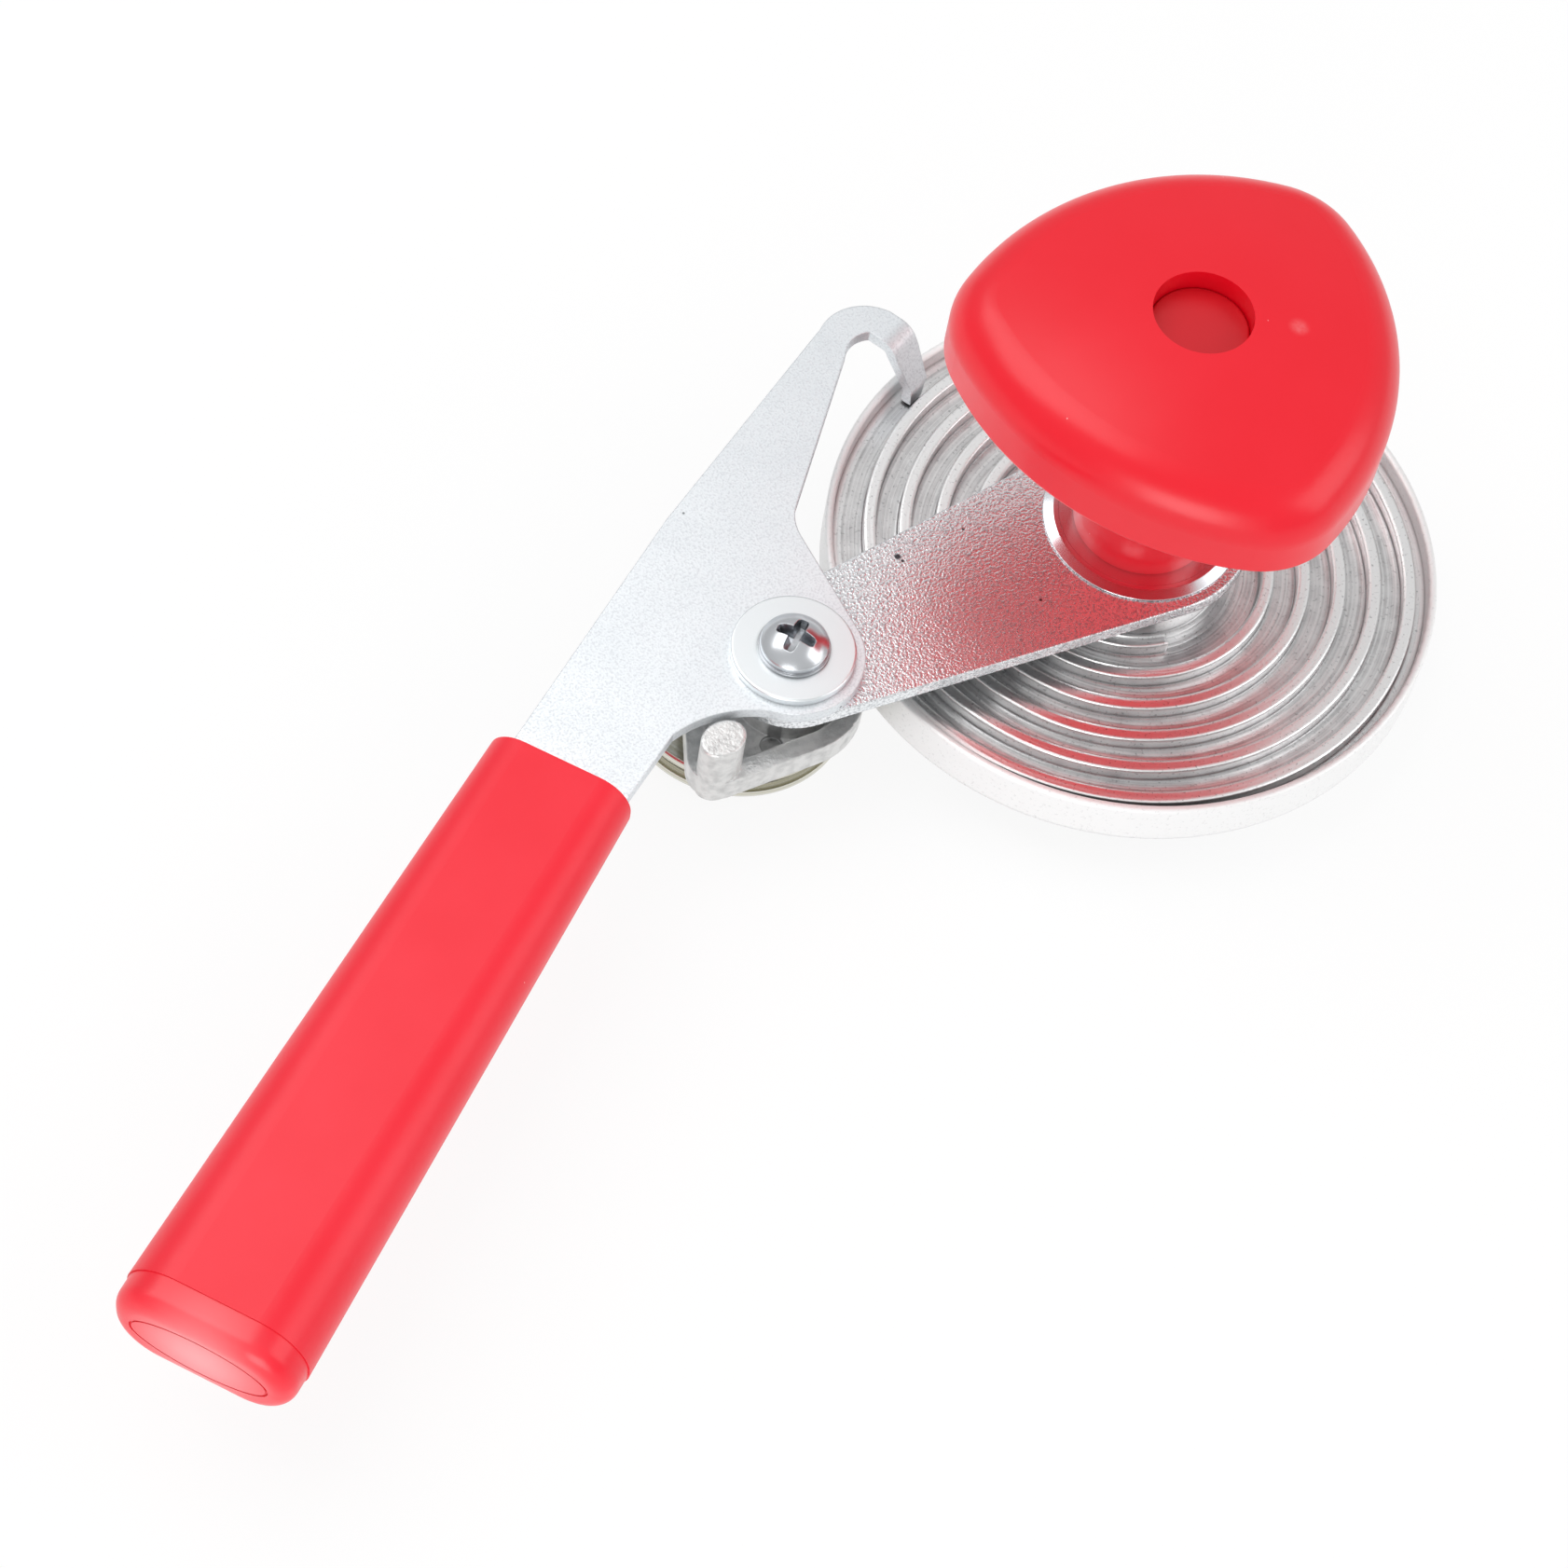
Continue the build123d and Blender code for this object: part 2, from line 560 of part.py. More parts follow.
# Bush that the arm's tip turns on
with BuildPart() as pivot_bush:
    ring(PIVOT_SCREW_RADIUS + SLIP_GAP, PIVOT_BUSH_RADIUS, carrier_boss_top_z, plate_bottom_z, pivot)
pivot_bush.part.label = "pivot_bush"
export_step(pivot_bush.part, "parts/pivot_bush.step")

# Follower finger: a strip that bends down from the hook and leans towards the disc's axis
finger_width_angle = radians(LEVER_ANGLE - FINGER_TURN)
finger_width_dir = Vector(cos(finger_width_angle), sin(finger_width_angle), 0)
finger_inward_dir = Vector(sin(finger_width_angle), -cos(finger_width_angle), 0)
finger_foot = lever_point(finger_x, finger_y)
finger_side_plane = Plane(origin=finger_foot, x_dir=finger_inward_dir, z_dir=finger_width_dir * -1)
finger_front_plane = Plane(origin=finger_foot, x_dir=finger_width_dir, z_dir=finger_inward_dir)
lean_per_height = FINGER_LEAN / (plate_middle_z - FINGER_KNEE_Z)
finger_half = FINGER_THICKNESS / 2
leaning_half = finger_half * sqrt(1 + lean_per_height**2)


def finger_line(z, side):
    """A point of the leaning part's inner or outer face at a height, across the strip."""
    return (side * leaning_half - lean_per_height * (z - FINGER_KNEE_Z), z)


def knee_point(side):
    """The point where the finger's upright tip passes into its leaning part, on one face."""
    return (side * finger_half, FINGER_KNEE_Z + side * (leaning_half - finger_half) / lean_per_height)


finger_root = -FINGER_LEAN - FINGER_ROOT_LENGTH
finger_half_top = FINGER_TOP_WIDTH / 2
finger_half_tip = FINGER_TIP_WIDTH / 2
with BuildPart() as finger:
    with BuildSketch(finger_side_plane) as finger_profile:
        with BuildLine():
            Polyline(
                (finger_root, plate_top_z),
                finger_line(plate_top_z, 1),
                knee_point(1),
                (finger_half, finger_tip_z),
                (-finger_half, finger_tip_z),
                knee_point(-1),
                finger_line(plate_bottom_z, -1),
                (finger_root, plate_bottom_z),
                close=True,
            )
        make_face()
        outer_bend = finger_profile.vertices().sort_by_distance(finger_line(plate_top_z, 1))[0]
        fillet(outer_bend, radius=FINGER_OUTER_BEND)
        inner_bend = finger_profile.vertices().sort_by_distance(finger_line(plate_bottom_z, -1))[0]
        fillet(inner_bend, radius=FINGER_INNER_BEND)
    extrude(amount=finger_half_top, both=True)
    with BuildSketch(finger_front_plane):
        for side in (-1, 1):
            with BuildLine():
                Polyline(
                    (side * finger_half_top, plate_bottom_z - FINGER_TAPER_HEIGHT),
                    (side * finger_half_tip, finger_tip_z),
                    (side * finger_half_top, finger_tip_z),
                    close=True,
                )
            make_face()
    extrude(amount=FINGER_TOP_WIDTH, both=True, mode=Mode.SUBTRACT)

# Lever plate: a blanked steel plate with a hook at one end and a tang inside the grip at the other
finger_root_foot = lever_plane.to_local_coords(finger_foot + finger_inward_dir * finger_root)
finger_width_step = Vector(cos(radians(FINGER_TURN)), -sin(radians(FINGER_TURN))) * finger_half_top
nose_back = Vector(finger_root_foot.X, finger_root_foot.Y) + finger_width_step
nose_front = Vector(finger_root_foot.X, finger_root_foot.Y) - finger_width_step


def hook_point(step):
    """A point of the hook's outline, given as a step from the finger's foot."""
    return (finger_x + step[0], finger_y + step[1])


def tangent_point(point, radius):
    """Where the line from a point touches a circle round the pivot, on its right-hand side."""
    away = Vector(*point)
    along = away * (radius**2 / away.length**2)
    across = Vector(away.Y, -away.X) * (radius * sqrt(away.length**2 - radius**2) / away.length**2)
    return along + across


hook_outer = hook_point(HOOK_OUTER_STEP)
hook_heel = hook_point(HOOK_HEEL_STEP)
eye_touch = tangent_point(PLATE_INNER_BEND, PLATE_EYE_RADIUS)
notch_start = polar(PLATE_EYE_RADIUS, NOTCH_ANGLE)
eye_bottom = polar(PLATE_EYE_RADIUS, NOTCH_ANGLE + half_turn / 3)
tang_end_x = GRIP_ROOT_X - TANG_LENGTH
tang_low_y = GRIP_AXIS_Y - TANG_WIDTH / 2
tang_high_y = GRIP_AXIS_Y + TANG_WIDTH / 2
with BuildPart() as lever_plate:
    with BuildSketch(lever_level(plate_bottom_z)) as plate_outline:
        with BuildLine():
            Polyline(
                PLATE_INNER_ROOT,
                (GRIP_ROOT_X, tang_low_y),
                (tang_end_x, tang_low_y),
                (tang_end_x, tang_high_y),
                (GRIP_ROOT_X, tang_high_y),
                PLATE_OUTER_ROOT,
                PLATE_OUTER_MIDDLE,
                hook_outer,
            )
            ThreePointArc(hook_outer, hook_point(HOOK_SHOULDER_STEP), nose_back)
            Line(nose_back, nose_front)
            ThreePointArc(nose_front, hook_point(HOOK_THROAT_STEP), hook_heel)
            Polyline(hook_heel, PLATE_INNER_BEND, eye_touch)
            ThreePointArc(eye_touch, eye_bottom, notch_start)
            ThreePointArc(notch_start, NOTCH_MIDDLE, NOTCH_END)
            Line(NOTCH_END, PLATE_INNER_ROOT)
        make_face()
        fillet(plate_outline.vertices().sort_by_distance(PLATE_INNER_BEND)[0], radius=PLATE_BEND_RADIUS)
        fillet(plate_outline.vertices().sort_by_distance(notch_start)[0], radius=NOTCH_CORNER_RADIUS)
        Circle(PIVOT_SCREW_RADIUS + SLIP_GAP, mode=Mode.SUBTRACT)
    extrude(amount=PLATE_THICKNESS)
    add(finger.part)
lever_plate.part.label = "lever_plate"
export_step(lever_plate.part, "parts/lever_plate.step")

# Pivot screw: a domed head with a small flange and a cross recess
screw_tip_z = CARRIER_BOTTOM_Z + PIVOT_SCREW_INSET
with BuildPart() as pivot_washer:
    ring(PIVOT_SCREW_RADIUS + SLIP_GAP, PIVOT_WASHER_RADIUS, plate_top_z, washer_top_z, pivot)
    fillet(pivot_washer.edges().group_by(Axis.Z)[-1].sort_by(SortBy.RADIUS)[-1], radius=PLATE_EDGE_RADIUS)
pivot_washer.part.label = "pivot_washer"
export_step(pivot_washer.part, "parts/pivot_washer.step")

head_top_z = washer_top_z + PIVOT_HEAD_HEIGHT
flange_top_z = washer_top_z + PIVOT_FLANGE_HEIGHT
pivot_side_plane = Plane(origin=pivot, x_dir=lever_plane.x_dir, z_dir=lever_plane.y_dir * -1)
pivot_axis = Axis(origin=pivot, direction=(0, 0, 1))
crown_base_z = head_top_z - PIVOT_CROWN_HEIGHT
head_crown_radius = (PIVOT_HEAD_RADIUS**2 + PIVOT_CROWN_HEIGHT**2) / (2 * PIVOT_CROWN_HEIGHT)
with BuildPart() as pivot_screw:
    with BuildSketch(pivot_side_plane):
        with BuildLine():
            Polyline(
                (0, head_top_z),
                (0, screw_tip_z),
                (PIVOT_SCREW_RADIUS - FASTENER_CHAMFER, screw_tip_z),
                (PIVOT_SCREW_RADIUS, screw_tip_z + FASTENER_CHAMFER),
                (PIVOT_SCREW_RADIUS, washer_top_z),
                (PIVOT_FLANGE_RADIUS, washer_top_z),
                (PIVOT_FLANGE_RADIUS, flange_top_z),
                (PIVOT_HEAD_RADIUS, flange_top_z),
                (PIVOT_HEAD_RADIUS, crown_base_z),
            )
            RadiusArc((PIVOT_HEAD_RADIUS, crown_base_z), (0, head_top_z), -head_crown_radius)
        make_face()
    revolve(axis=pivot_axis)
    crown_face = pivot_screw.faces().sort_by(Axis.Z)[-1]
    fillet(crown_face.edges().filter_by(GeomType.CIRCLE), radius=PIVOT_HEAD_EDGE_RADIUS)
    with BuildSketch(lever_level(head_top_z)):
        RectangleRounded(PIVOT_SLOT_LENGTH, PIVOT_SLOT_WIDTH, PIVOT_SLOT_CORNER)
        RectangleRounded(PIVOT_SLOT_WIDTH, PIVOT_SLOT_LENGTH, PIVOT_SLOT_CORNER)
    extrude(amount=-PIVOT_SLOT_DEPTH, taper=PIVOT_SLOT_TAPER, mode=Mode.SUBTRACT)
pivot_screw.part.label = "pivot_screw"
export_step(pivot_screw.part, "parts/pivot_screw.step")

# Die-cast roller carrier: a tray with a rim, a pivot boss, an axle pad and the peg in the lever's notch
axle_shank_top_z = CARRIER_BOTTOM_Z + AXLE_PAD_HEIGHT - AXLE_PAD_COVER
with BuildPart() as roller_carrier:
    with BuildSketch(lever_level(CARRIER_BOTTOM_Z)) as carrier_outline:
        Circle(CARRIER_PIVOT_RADIUS)
        with Locations(CARRIER_PEG_LOBE):
            Circle(CARRIER_PEG_LOBE_RADIUS)
        with Locations((ROLLER_X, ROLLER_Y)):
            Circle(CARRIER_AXLE_RADIUS)
        make_hull()
    extrude(amount=CARRIER_RIM_HEIGHT)
    with BuildSketch(lever_level(carrier_floor_z)):
        add(carrier_outline.sketch_local)
        offset(amount=-CARRIER_RIM_WIDTH, mode=Mode.REPLACE)
    extrude(amount=CARRIER_RIM_HEIGHT, mode=Mode.SUBTRACT)
    with BuildSketch(lever_level(CARRIER_BOTTOM_Z)):
        Circle(CARRIER_BOSS_RADIUS)
    extrude(amount=carrier_boss_top_z - CARRIER_BOTTOM_Z)
    with BuildSketch(lever_level(axle_boss_bottom_z)):
        with Locations((ROLLER_X, ROLLER_Y)):
            Circle(ROLLER_WASHER_RADIUS)
    extrude(amount=CARRIER_BOTTOM_Z - axle_boss_bottom_z)
    with BuildSketch(lever_level(CARRIER_BOTTOM_Z)):
        with Locations((ROLLER_X, ROLLER_Y)):
            Circle(AXLE_PAD_RADIUS)
    extrude(amount=AXLE_PAD_HEIGHT)
    with BuildSketch(lever_level(CARRIER_BOTTOM_Z)):
        with Locations(Location((PEG_X, PEG_Y, 0), (0, 0, PEG_TURN))):
            Ellipse(PEG_LENGTH / 2, PEG_WIDTH / 2)
    extrude(amount=peg_top_z - CARRIER_BOTTOM_Z)
    fillet(roller_carrier.edges().group_by(Axis.Z)[-1], radius=PEG_EDGE_RADIUS)
    with BuildSketch(lever_level(CARRIER_BOTTOM_Z)):
        Circle(PIVOT_SCREW_RADIUS + SLIP_GAP)
    extrude(amount=carrier_boss_top_z - CARRIER_BOTTOM_Z, mode=Mode.SUBTRACT)
    with BuildSketch(lever_level(axle_boss_bottom_z)):
        with Locations((ROLLER_X, ROLLER_Y)):
            Circle(AXLE_SHANK_RADIUS + SLIP_GAP)
    extrude(amount=axle_shank_top_z + SLIP_GAP - axle_boss_bottom_z, mode=Mode.SUBTRACT)
    with BuildSketch(lever_level(carrier_floor_z)):
        with Locations((EJECTOR_X, EJECTOR_Y)):
            Circle(EJECTOR_RADIUS)
    extrude(amount=-EJECTOR_DEPTH, mode=Mode.SUBTRACT)
roller_carrier.part.label = "roller_carrier"
export_step(roller_carrier.part, "parts/roller_carrier.step")

# Roller axle: a stepped pin pressed into the carrier from below, with a groove for the circlip
roller_side_plane = Plane(origin=roller_centre, x_dir=lever_plane.x_dir, z_dir=lever_plane.y_dir * -1)
roller_axis = Axis(origin=roller_centre, direction=(0, 0, 1))
circlip_groove_radius = JOURNAL_RADIUS - CIRCLIP_GROOVE_DEPTH
with BuildPart() as roller_axle:
    with BuildSketch(roller_side_plane):
        with BuildLine():
            Polyline(
                (0, axle_shank_top_z),
                (0, axle_bottom_z),
                (JOURNAL_RADIUS - FASTENER_CHAMFER, axle_bottom_z),
                (JOURNAL_RADIUS, axle_bottom_z + FASTENER_CHAMFER),
                (JOURNAL_RADIUS, circlip_bottom_z),
                (circlip_groove_radius, circlip_bottom_z),
                (circlip_groove_radius, circlip_top_z),
                (JOURNAL_RADIUS, circlip_top_z),
                (JOURNAL_RADIUS, axle_boss_bottom_z),
                (AXLE_SHANK_RADIUS, axle_boss_bottom_z),
                (AXLE_SHANK_RADIUS, axle_shank_top_z - FASTENER_CHAMFER),
                (AXLE_SHANK_RADIUS - FASTENER_CHAMFER, axle_shank_top_z),
                close=True,
            )
        make_face()
    revolve(axis=roller_axis)
roller_axle.part.label = "roller_axle"
export_step(roller_axle.part, "parts/roller_axle.step")

# Seaming roller with two flanges, and its bush
roller_bore_radius = JOURNAL_RADIUS + RUN_GAP + ROLLER_BUSH_WALL
groove_radius = ROLLER_RADIUS - ROLLER_GROOVE_DEPTH
with BuildPart() as seaming_roller:
    with BuildSketch(roller_side_plane):
        with BuildLine():
            Polyline(
                (roller_bore_radius + SLIP_GAP, roller_bottom_z),
                (ROLLER_HUB_LAND, roller_bottom_z),
                (ROLLER_HUB_LAND, roller_bottom_z + ROLLER_FACE_RECESS),
                (ROLLER_RADIUS - ROLLER_RIM_LAND, roller_bottom_z + ROLLER_FACE_RECESS),
                (ROLLER_RADIUS - ROLLER_RIM_LAND, roller_bottom_z),
                (ROLLER_RADIUS - ROLLER_EDGE, roller_bottom_z),
                (ROLLER_RADIUS, roller_bottom_z + ROLLER_EDGE),
                (ROLLER_RADIUS, roller_bottom_z + ROLLER_FLANGE),
            )
            ThreePointArc(
                (ROLLER_RADIUS, roller_bottom_z + ROLLER_FLANGE),
                (groove_radius, (roller_bottom_z + ROLLER_TOP_Z) / 2),
                (ROLLER_RADIUS, ROLLER_TOP_Z - ROLLER_FLANGE),
            )
            Polyline(
                (ROLLER_RADIUS, ROLLER_TOP_Z - ROLLER_FLANGE),
                (ROLLER_RADIUS, ROLLER_TOP_Z - ROLLER_EDGE),
                (ROLLER_RADIUS - ROLLER_EDGE, ROLLER_TOP_Z),
                (ROLLER_RADIUS - ROLLER_RIM_LAND, ROLLER_TOP_Z),
                (ROLLER_RADIUS - ROLLER_RIM_LAND, ROLLER_TOP_Z - ROLLER_FACE_RECESS),
                (ROLLER_HUB_LAND, ROLLER_TOP_Z - ROLLER_FACE_RECESS),
                (ROLLER_HUB_LAND, ROLLER_TOP_Z),
                (roller_bore_radius + SLIP_GAP, ROLLER_TOP_Z),
                (roller_bore_radius + SLIP_GAP, roller_bottom_z),
            )
        make_face()
    revolve(axis=roller_axis)
seaming_roller.part.label = "seaming_roller"
export_step(seaming_roller.part, "parts/seaming_roller.step")

with BuildPart() as roller_bush:
    ring(JOURNAL_RADIUS + RUN_GAP, roller_bore_radius, roller_bottom_z, ROLLER_TOP_Z, roller_centre)
roller_bush.part.label = "roller_bush"
export_step(roller_bush.part, "parts/roller_bush.step")

# Thrust washers above and below the roller
washer_step = lower_roller_washer_top_z - axle_boss_bottom_z
with BuildPart() as roller_washers:
    with BuildSketch(level_at(roller_centre, axle_boss_bottom_z)):
        Circle(ROLLER_WASHER_RADIUS)
        Circle(JOURNAL_RADIUS + SLIP_GAP, mode=Mode.SUBTRACT)
    upper_washer = extrude(amount=-ROLLER_WASHER_THICKNESS)
    add(upper_washer.moved(Location((0, 0, washer_step))))
roller_washers.part.label = "roller_washers"
export_step(roller_washers.part, "parts/roller_washers.step")

# Circlip in the axle's groove
with BuildPart() as circlip:
    with BuildSketch(level_at(roller_centre, circlip_bottom_z)):
        Circle(CIRCLIP_RADIUS)
        Circle(circlip_groove_radius + SLIP_GAP, mode=Mode.SUBTRACT)
        with Locations((-CIRCLIP_RADIUS, 0)):
            Rectangle(CIRCLIP_RADIUS * 2, CIRCLIP_OPENING, mode=Mode.SUBTRACT)
    extrude(amount=CIRCLIP_THICKNESS)
circlip.part.label = "circlip"
export_step(circlip.part, "parts/circlip.step")

# Grip: a moulding that swells from a flat root to an oval end
grip_end_x = GRIP_ROOT_X - GRIP_LENGTH
cap_face_x = grip_end_x - END_CAP_LENGTH


def grip_section(x):
    """A plane across the grip whose origin is on the grip's axis, with x across the lever and y up."""
    centre = lever_point(x, GRIP_AXIS_Y, plate_middle_z)
    return Plane(origin=centre, x_dir=lever_plane.y_dir * -1, z_dir=lever_plane.x_dir * -1)


with BuildPart() as grip:
    with BuildSketch(grip_section(GRIP_ROOT_X)):
        RectangleRounded(GRIP_ROOT_WIDTH, GRIP_ROOT_THICKNESS, GRIP_ROOT_CORNER)
    with BuildSketch(grip_section(grip_end_x)):
        RectangleRounded(GRIP_END_WIDTH, GRIP_END_THICKNESS, GRIP_END_CORNER)
    loft()
    with BuildSketch(grip_section(GRIP_ROOT_X)):
        Rectangle(TANG_WIDTH + 2 * SLIP_GAP, PLATE_THICKNESS + 2 * SLIP_GAP)
    extrude(amount=GRIP_LENGTH, mode=Mode.SUBTRACT)
    with BuildSketch(grip_section(grip_end_x)):
        RectangleRounded(
            GRIP_END_WIDTH - 2 * GRIP_SOCKET_WALL,
            GRIP_END_THICKNESS - 2 * GRIP_SOCKET_WALL,
            GRIP_END_CORNER - GRIP_SOCKET_WALL,
        )
    extrude(amount=-GRIP_SOCKET_DEPTH, mode=Mode.SUBTRACT)
grip.part.label = "grip"
export_step(grip.part, "parts/grip.step")

# End cap of the grip: a spigot in the socket, a rounded lip and a panel inside a fine oval groove
outward_axis = Axis(origin=grip_section(0).origin, direction=grip_section(0).z_dir)
panel_length = GRIP_END_WIDTH / 2 - END_CAP_PANEL_INSET
panel_width = GRIP_END_THICKNESS / 2 - END_CAP_PANEL_INSET
with BuildPart() as grip_end_cap:
    with BuildSketch(grip_section(grip_end_x)):
        RectangleRounded(
            GRIP_END_WIDTH - 2 * END_CAP_STEP,
            GRIP_END_THICKNESS - 2 * END_CAP_STEP,
            GRIP_END_CORNER - END_CAP_STEP,
        )
    extrude(amount=END_CAP_LENGTH)
    cap_face = grip_end_cap.faces().sort_by(outward_axis)[-1]
    fillet(cap_face.edges(), radius=END_CAP_EDGE_RADIUS)
    with BuildSketch(grip_section(grip_end_x)):
        RectangleRounded(
            GRIP_END_WIDTH - 2 * GRIP_SOCKET_WALL - 2 * SLIP_GAP,
            GRIP_END_THICKNESS - 2 * GRIP_SOCKET_WALL - 2 * SLIP_GAP,
            GRIP_END_CORNER - GRIP_SOCKET_WALL - SLIP_GAP,
        )
    extrude(amount=-GRIP_SOCKET_DEPTH + SLIP_GAP)
    with BuildSketch(grip_section(cap_face_x)):
        Ellipse(panel_length, panel_width)
        Ellipse(panel_length - END_CAP_PANEL_GROOVE, panel_width - END_CAP_PANEL_GROOVE, mode=Mode.SUBTRACT)
    extrude(amount=-END_CAP_PANEL_DEPTH, mode=Mode.SUBTRACT)
grip_end_cap.part.label = "grip_end_cap"
export_step(grip_end_cap.part, "parts/grip_end_cap.step")
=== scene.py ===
"""Looks of the manual can seamer: finishes, small surface detail, studio and camera."""

import json
import logging
import math
from dataclasses import dataclass, field
from enum import Enum

import bpy
from mathutils import Matrix, Vector


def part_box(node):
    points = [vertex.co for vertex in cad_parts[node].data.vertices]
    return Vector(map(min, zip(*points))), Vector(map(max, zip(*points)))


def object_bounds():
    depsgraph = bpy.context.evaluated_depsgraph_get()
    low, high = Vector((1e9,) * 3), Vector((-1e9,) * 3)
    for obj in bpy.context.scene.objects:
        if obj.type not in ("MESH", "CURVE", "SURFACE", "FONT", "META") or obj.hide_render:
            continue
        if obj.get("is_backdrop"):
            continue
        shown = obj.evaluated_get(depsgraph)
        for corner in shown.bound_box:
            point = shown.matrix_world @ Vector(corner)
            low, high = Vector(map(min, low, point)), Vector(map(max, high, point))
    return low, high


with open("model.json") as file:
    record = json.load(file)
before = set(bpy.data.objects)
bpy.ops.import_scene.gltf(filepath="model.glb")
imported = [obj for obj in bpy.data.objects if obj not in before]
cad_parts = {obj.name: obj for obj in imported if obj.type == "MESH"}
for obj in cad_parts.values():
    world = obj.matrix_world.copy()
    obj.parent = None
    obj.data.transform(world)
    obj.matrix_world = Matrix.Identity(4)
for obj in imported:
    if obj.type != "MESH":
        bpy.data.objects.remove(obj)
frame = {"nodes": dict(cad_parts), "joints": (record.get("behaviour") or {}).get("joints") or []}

MM = 0.001
LOG = logging.getLogger("seamer")
HEX_STARTS = (1, 3, 5)
POLYPROPYLENE_IOR = 1.49

Tree = bpy.types.NodeTree
Node = bpy.types.Node
Socket = bpy.types.NodeSocket


class Kind(Enum):
    """The kinds of node that the finishes and the studio are made of."""

    SHADER = "ShaderNodeBsdfPrincipled"
    DIFFUSE = "ShaderNodeBsdfDiffuse"
    EMISSION = "ShaderNodeEmission"
    BACKGROUND = "ShaderNodeBackground"
    SHADER_MIX = "ShaderNodeMixShader"
    SURFACE = "ShaderNodeOutputMaterial"
    WORLD = "ShaderNodeOutputWorld"
    PLACE = "ShaderNodeTexCoord"
    RAY = "ShaderNodeLightPath"
    NOISE = "ShaderNodeTexNoise"
    CELLS = "ShaderNodeTexVoronoi"
    RAMP = "ShaderNodeMapRange"
    MIX = "ShaderNodeMix"
    MATH = "ShaderNodeMath"
    VECTOR_MATH = "ShaderNodeVectorMath"
    SPLIT = "ShaderNodeSeparateXYZ"
    JOIN = "ShaderNodeCombineXYZ"
    SPLIT_COLOUR = "ShaderNodeSeparateColor"
    OCCLUSION = "ShaderNodeAmbientOcclusion"
    BEVEL = "ShaderNodeBevel"
    BUMP = "ShaderNodeBump"


class Speckle(Enum):
    """How strongly the fine grain of a plated sheet shows in its tint."""

    FAINT = 0.22
    STRONG = 0.6


def linear(hex_colour: str) -> tuple[float, float, float, float]:
    """Turn an sRGB hex colour into linear values.

    Args:
        hex_colour: Six hex digits with a leading hash.

    Returns:
        Linear red, green and blue with an alpha of 1.
    """
    channels = [int(hex_colour[start:start + 2], 16) / 255 for start in HEX_STARTS]
    flat = [c / 12.92 if c <= 0.04045 else ((c + 0.055) / 1.055) ** 2.4 for c in channels]
    return (flat[0], flat[1], flat[2], 1.0)


def add_node(tree: Tree, kind: Kind, values: dict | None = None, **settings: object) -> Node:
    """Add one node with its settings, values and links.

    Args:
        tree: Node tree that gets the node.
        kind: The kind of node.
        values: Input name or number to a value, or to the output socket that feeds it.
        **settings: Attributes of the node itself.

    Returns:
        The new node.
    """
    node = tree.nodes.new(kind.value)
    for name, value in settings.items():
        setattr(node, name, value)
    for name, value in (values or {}).items():
        socket = node.inputs[name]
        if isinstance(value, Socket):
            tree.links.new(value, socket)
        else:
            socket.default_value = value
    return node


def joint_place_mm(name: str) -> tuple[float, float]:
    """Find where a joint's upright axis stands.

    Args:
        name: Name of the joint.

    Returns:
        The axis's place in the plan, in millimetres.
    """
    place = next(joint["pos_m"] for joint in frame["joints"] if joint["name"] == name)
    return (place[0] / MM, place[1] / MM)


PIVOT_MM = joint_place_mm("lever_feed")
ROLLER_MM = joint_place_mm("roller_spin")
ARM_TOP_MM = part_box("crank_arm")[1][2] / MM


@dataclass(frozen=True)
class Ramp:
    """How a value between two bounds becomes an amount between two others."""

    low: float
    high: float
    start: float
    end: float

    def of(self, value: Socket) -> dict[str, object]:
        """Inputs of the ramp's node for one value.

        Args:
            value: The value that runs from the low bound to the high one.

        Returns:
            Input names and what they hold.
        """
        return {
            "Value": value, "From Min": self.low, "From Max": self.high,
            "To Min": self.start, "To Max": self.end,
        }


@dataclass(frozen=True)
class Pattern:
    """A cloudy pattern: the real size of its features and how many finer layers it has."""

    size_mm: float
    layers: float

    def at(self, place: Socket, along: str = "Vector") -> dict[str, object]:
        """Inputs of the pattern's node at a place.

        Args:
            place: Position on the piece, or a distance for a pattern of lines.
            along: Input that takes the position.

        Returns:
            Input names and what they hold.
        """
        return {along: place, "Scale": 1.0 / (self.size_mm * MM), "Detail": self.layers}


@dataclass(frozen=True)
class Relief:
    """How high a pattern stands on the surface and how strongly it bends the light."""

    height_mm: float
    strength: float

    def over(self, height: Socket, normal: Socket | None = None) -> dict[str, object]:
        """Inputs of the relief's node.

        Args:
            height: The pattern that stands up.
            normal: The surface that it stands on, where that is itself shaped.

        Returns:
            Input names and what they hold.
        """
        values = {"Height": height, "Strength": self.strength, "Distance": self.height_mm * MM}
        if normal is not None:
            values["Normal"] = normal
        return values


@dataclass(frozen=True)
class Spots:
    """Small scattered spots: their spacing, their edge as a share of it, and how few cells hold one."""

    spacing_mm: float
    edge: Ramp
    rarity: float
    picked_by: str


@dataclass(frozen=True)
class Mark:
    """A pale mark on moulded plastic, used both for real scuffs and for painted sheen: its middle, its reach,
    its strength and how broken up it is.
    """

    middle_mm: tuple[float, float, float]
    radius_mm: float
    strength: float
    raggedness: float = 1.0


@dataclass(frozen=True)
class Pit:
    """A dark pit in the arm's top face."""

    x_mm: float
    y_mm: float
    radius_mm: float


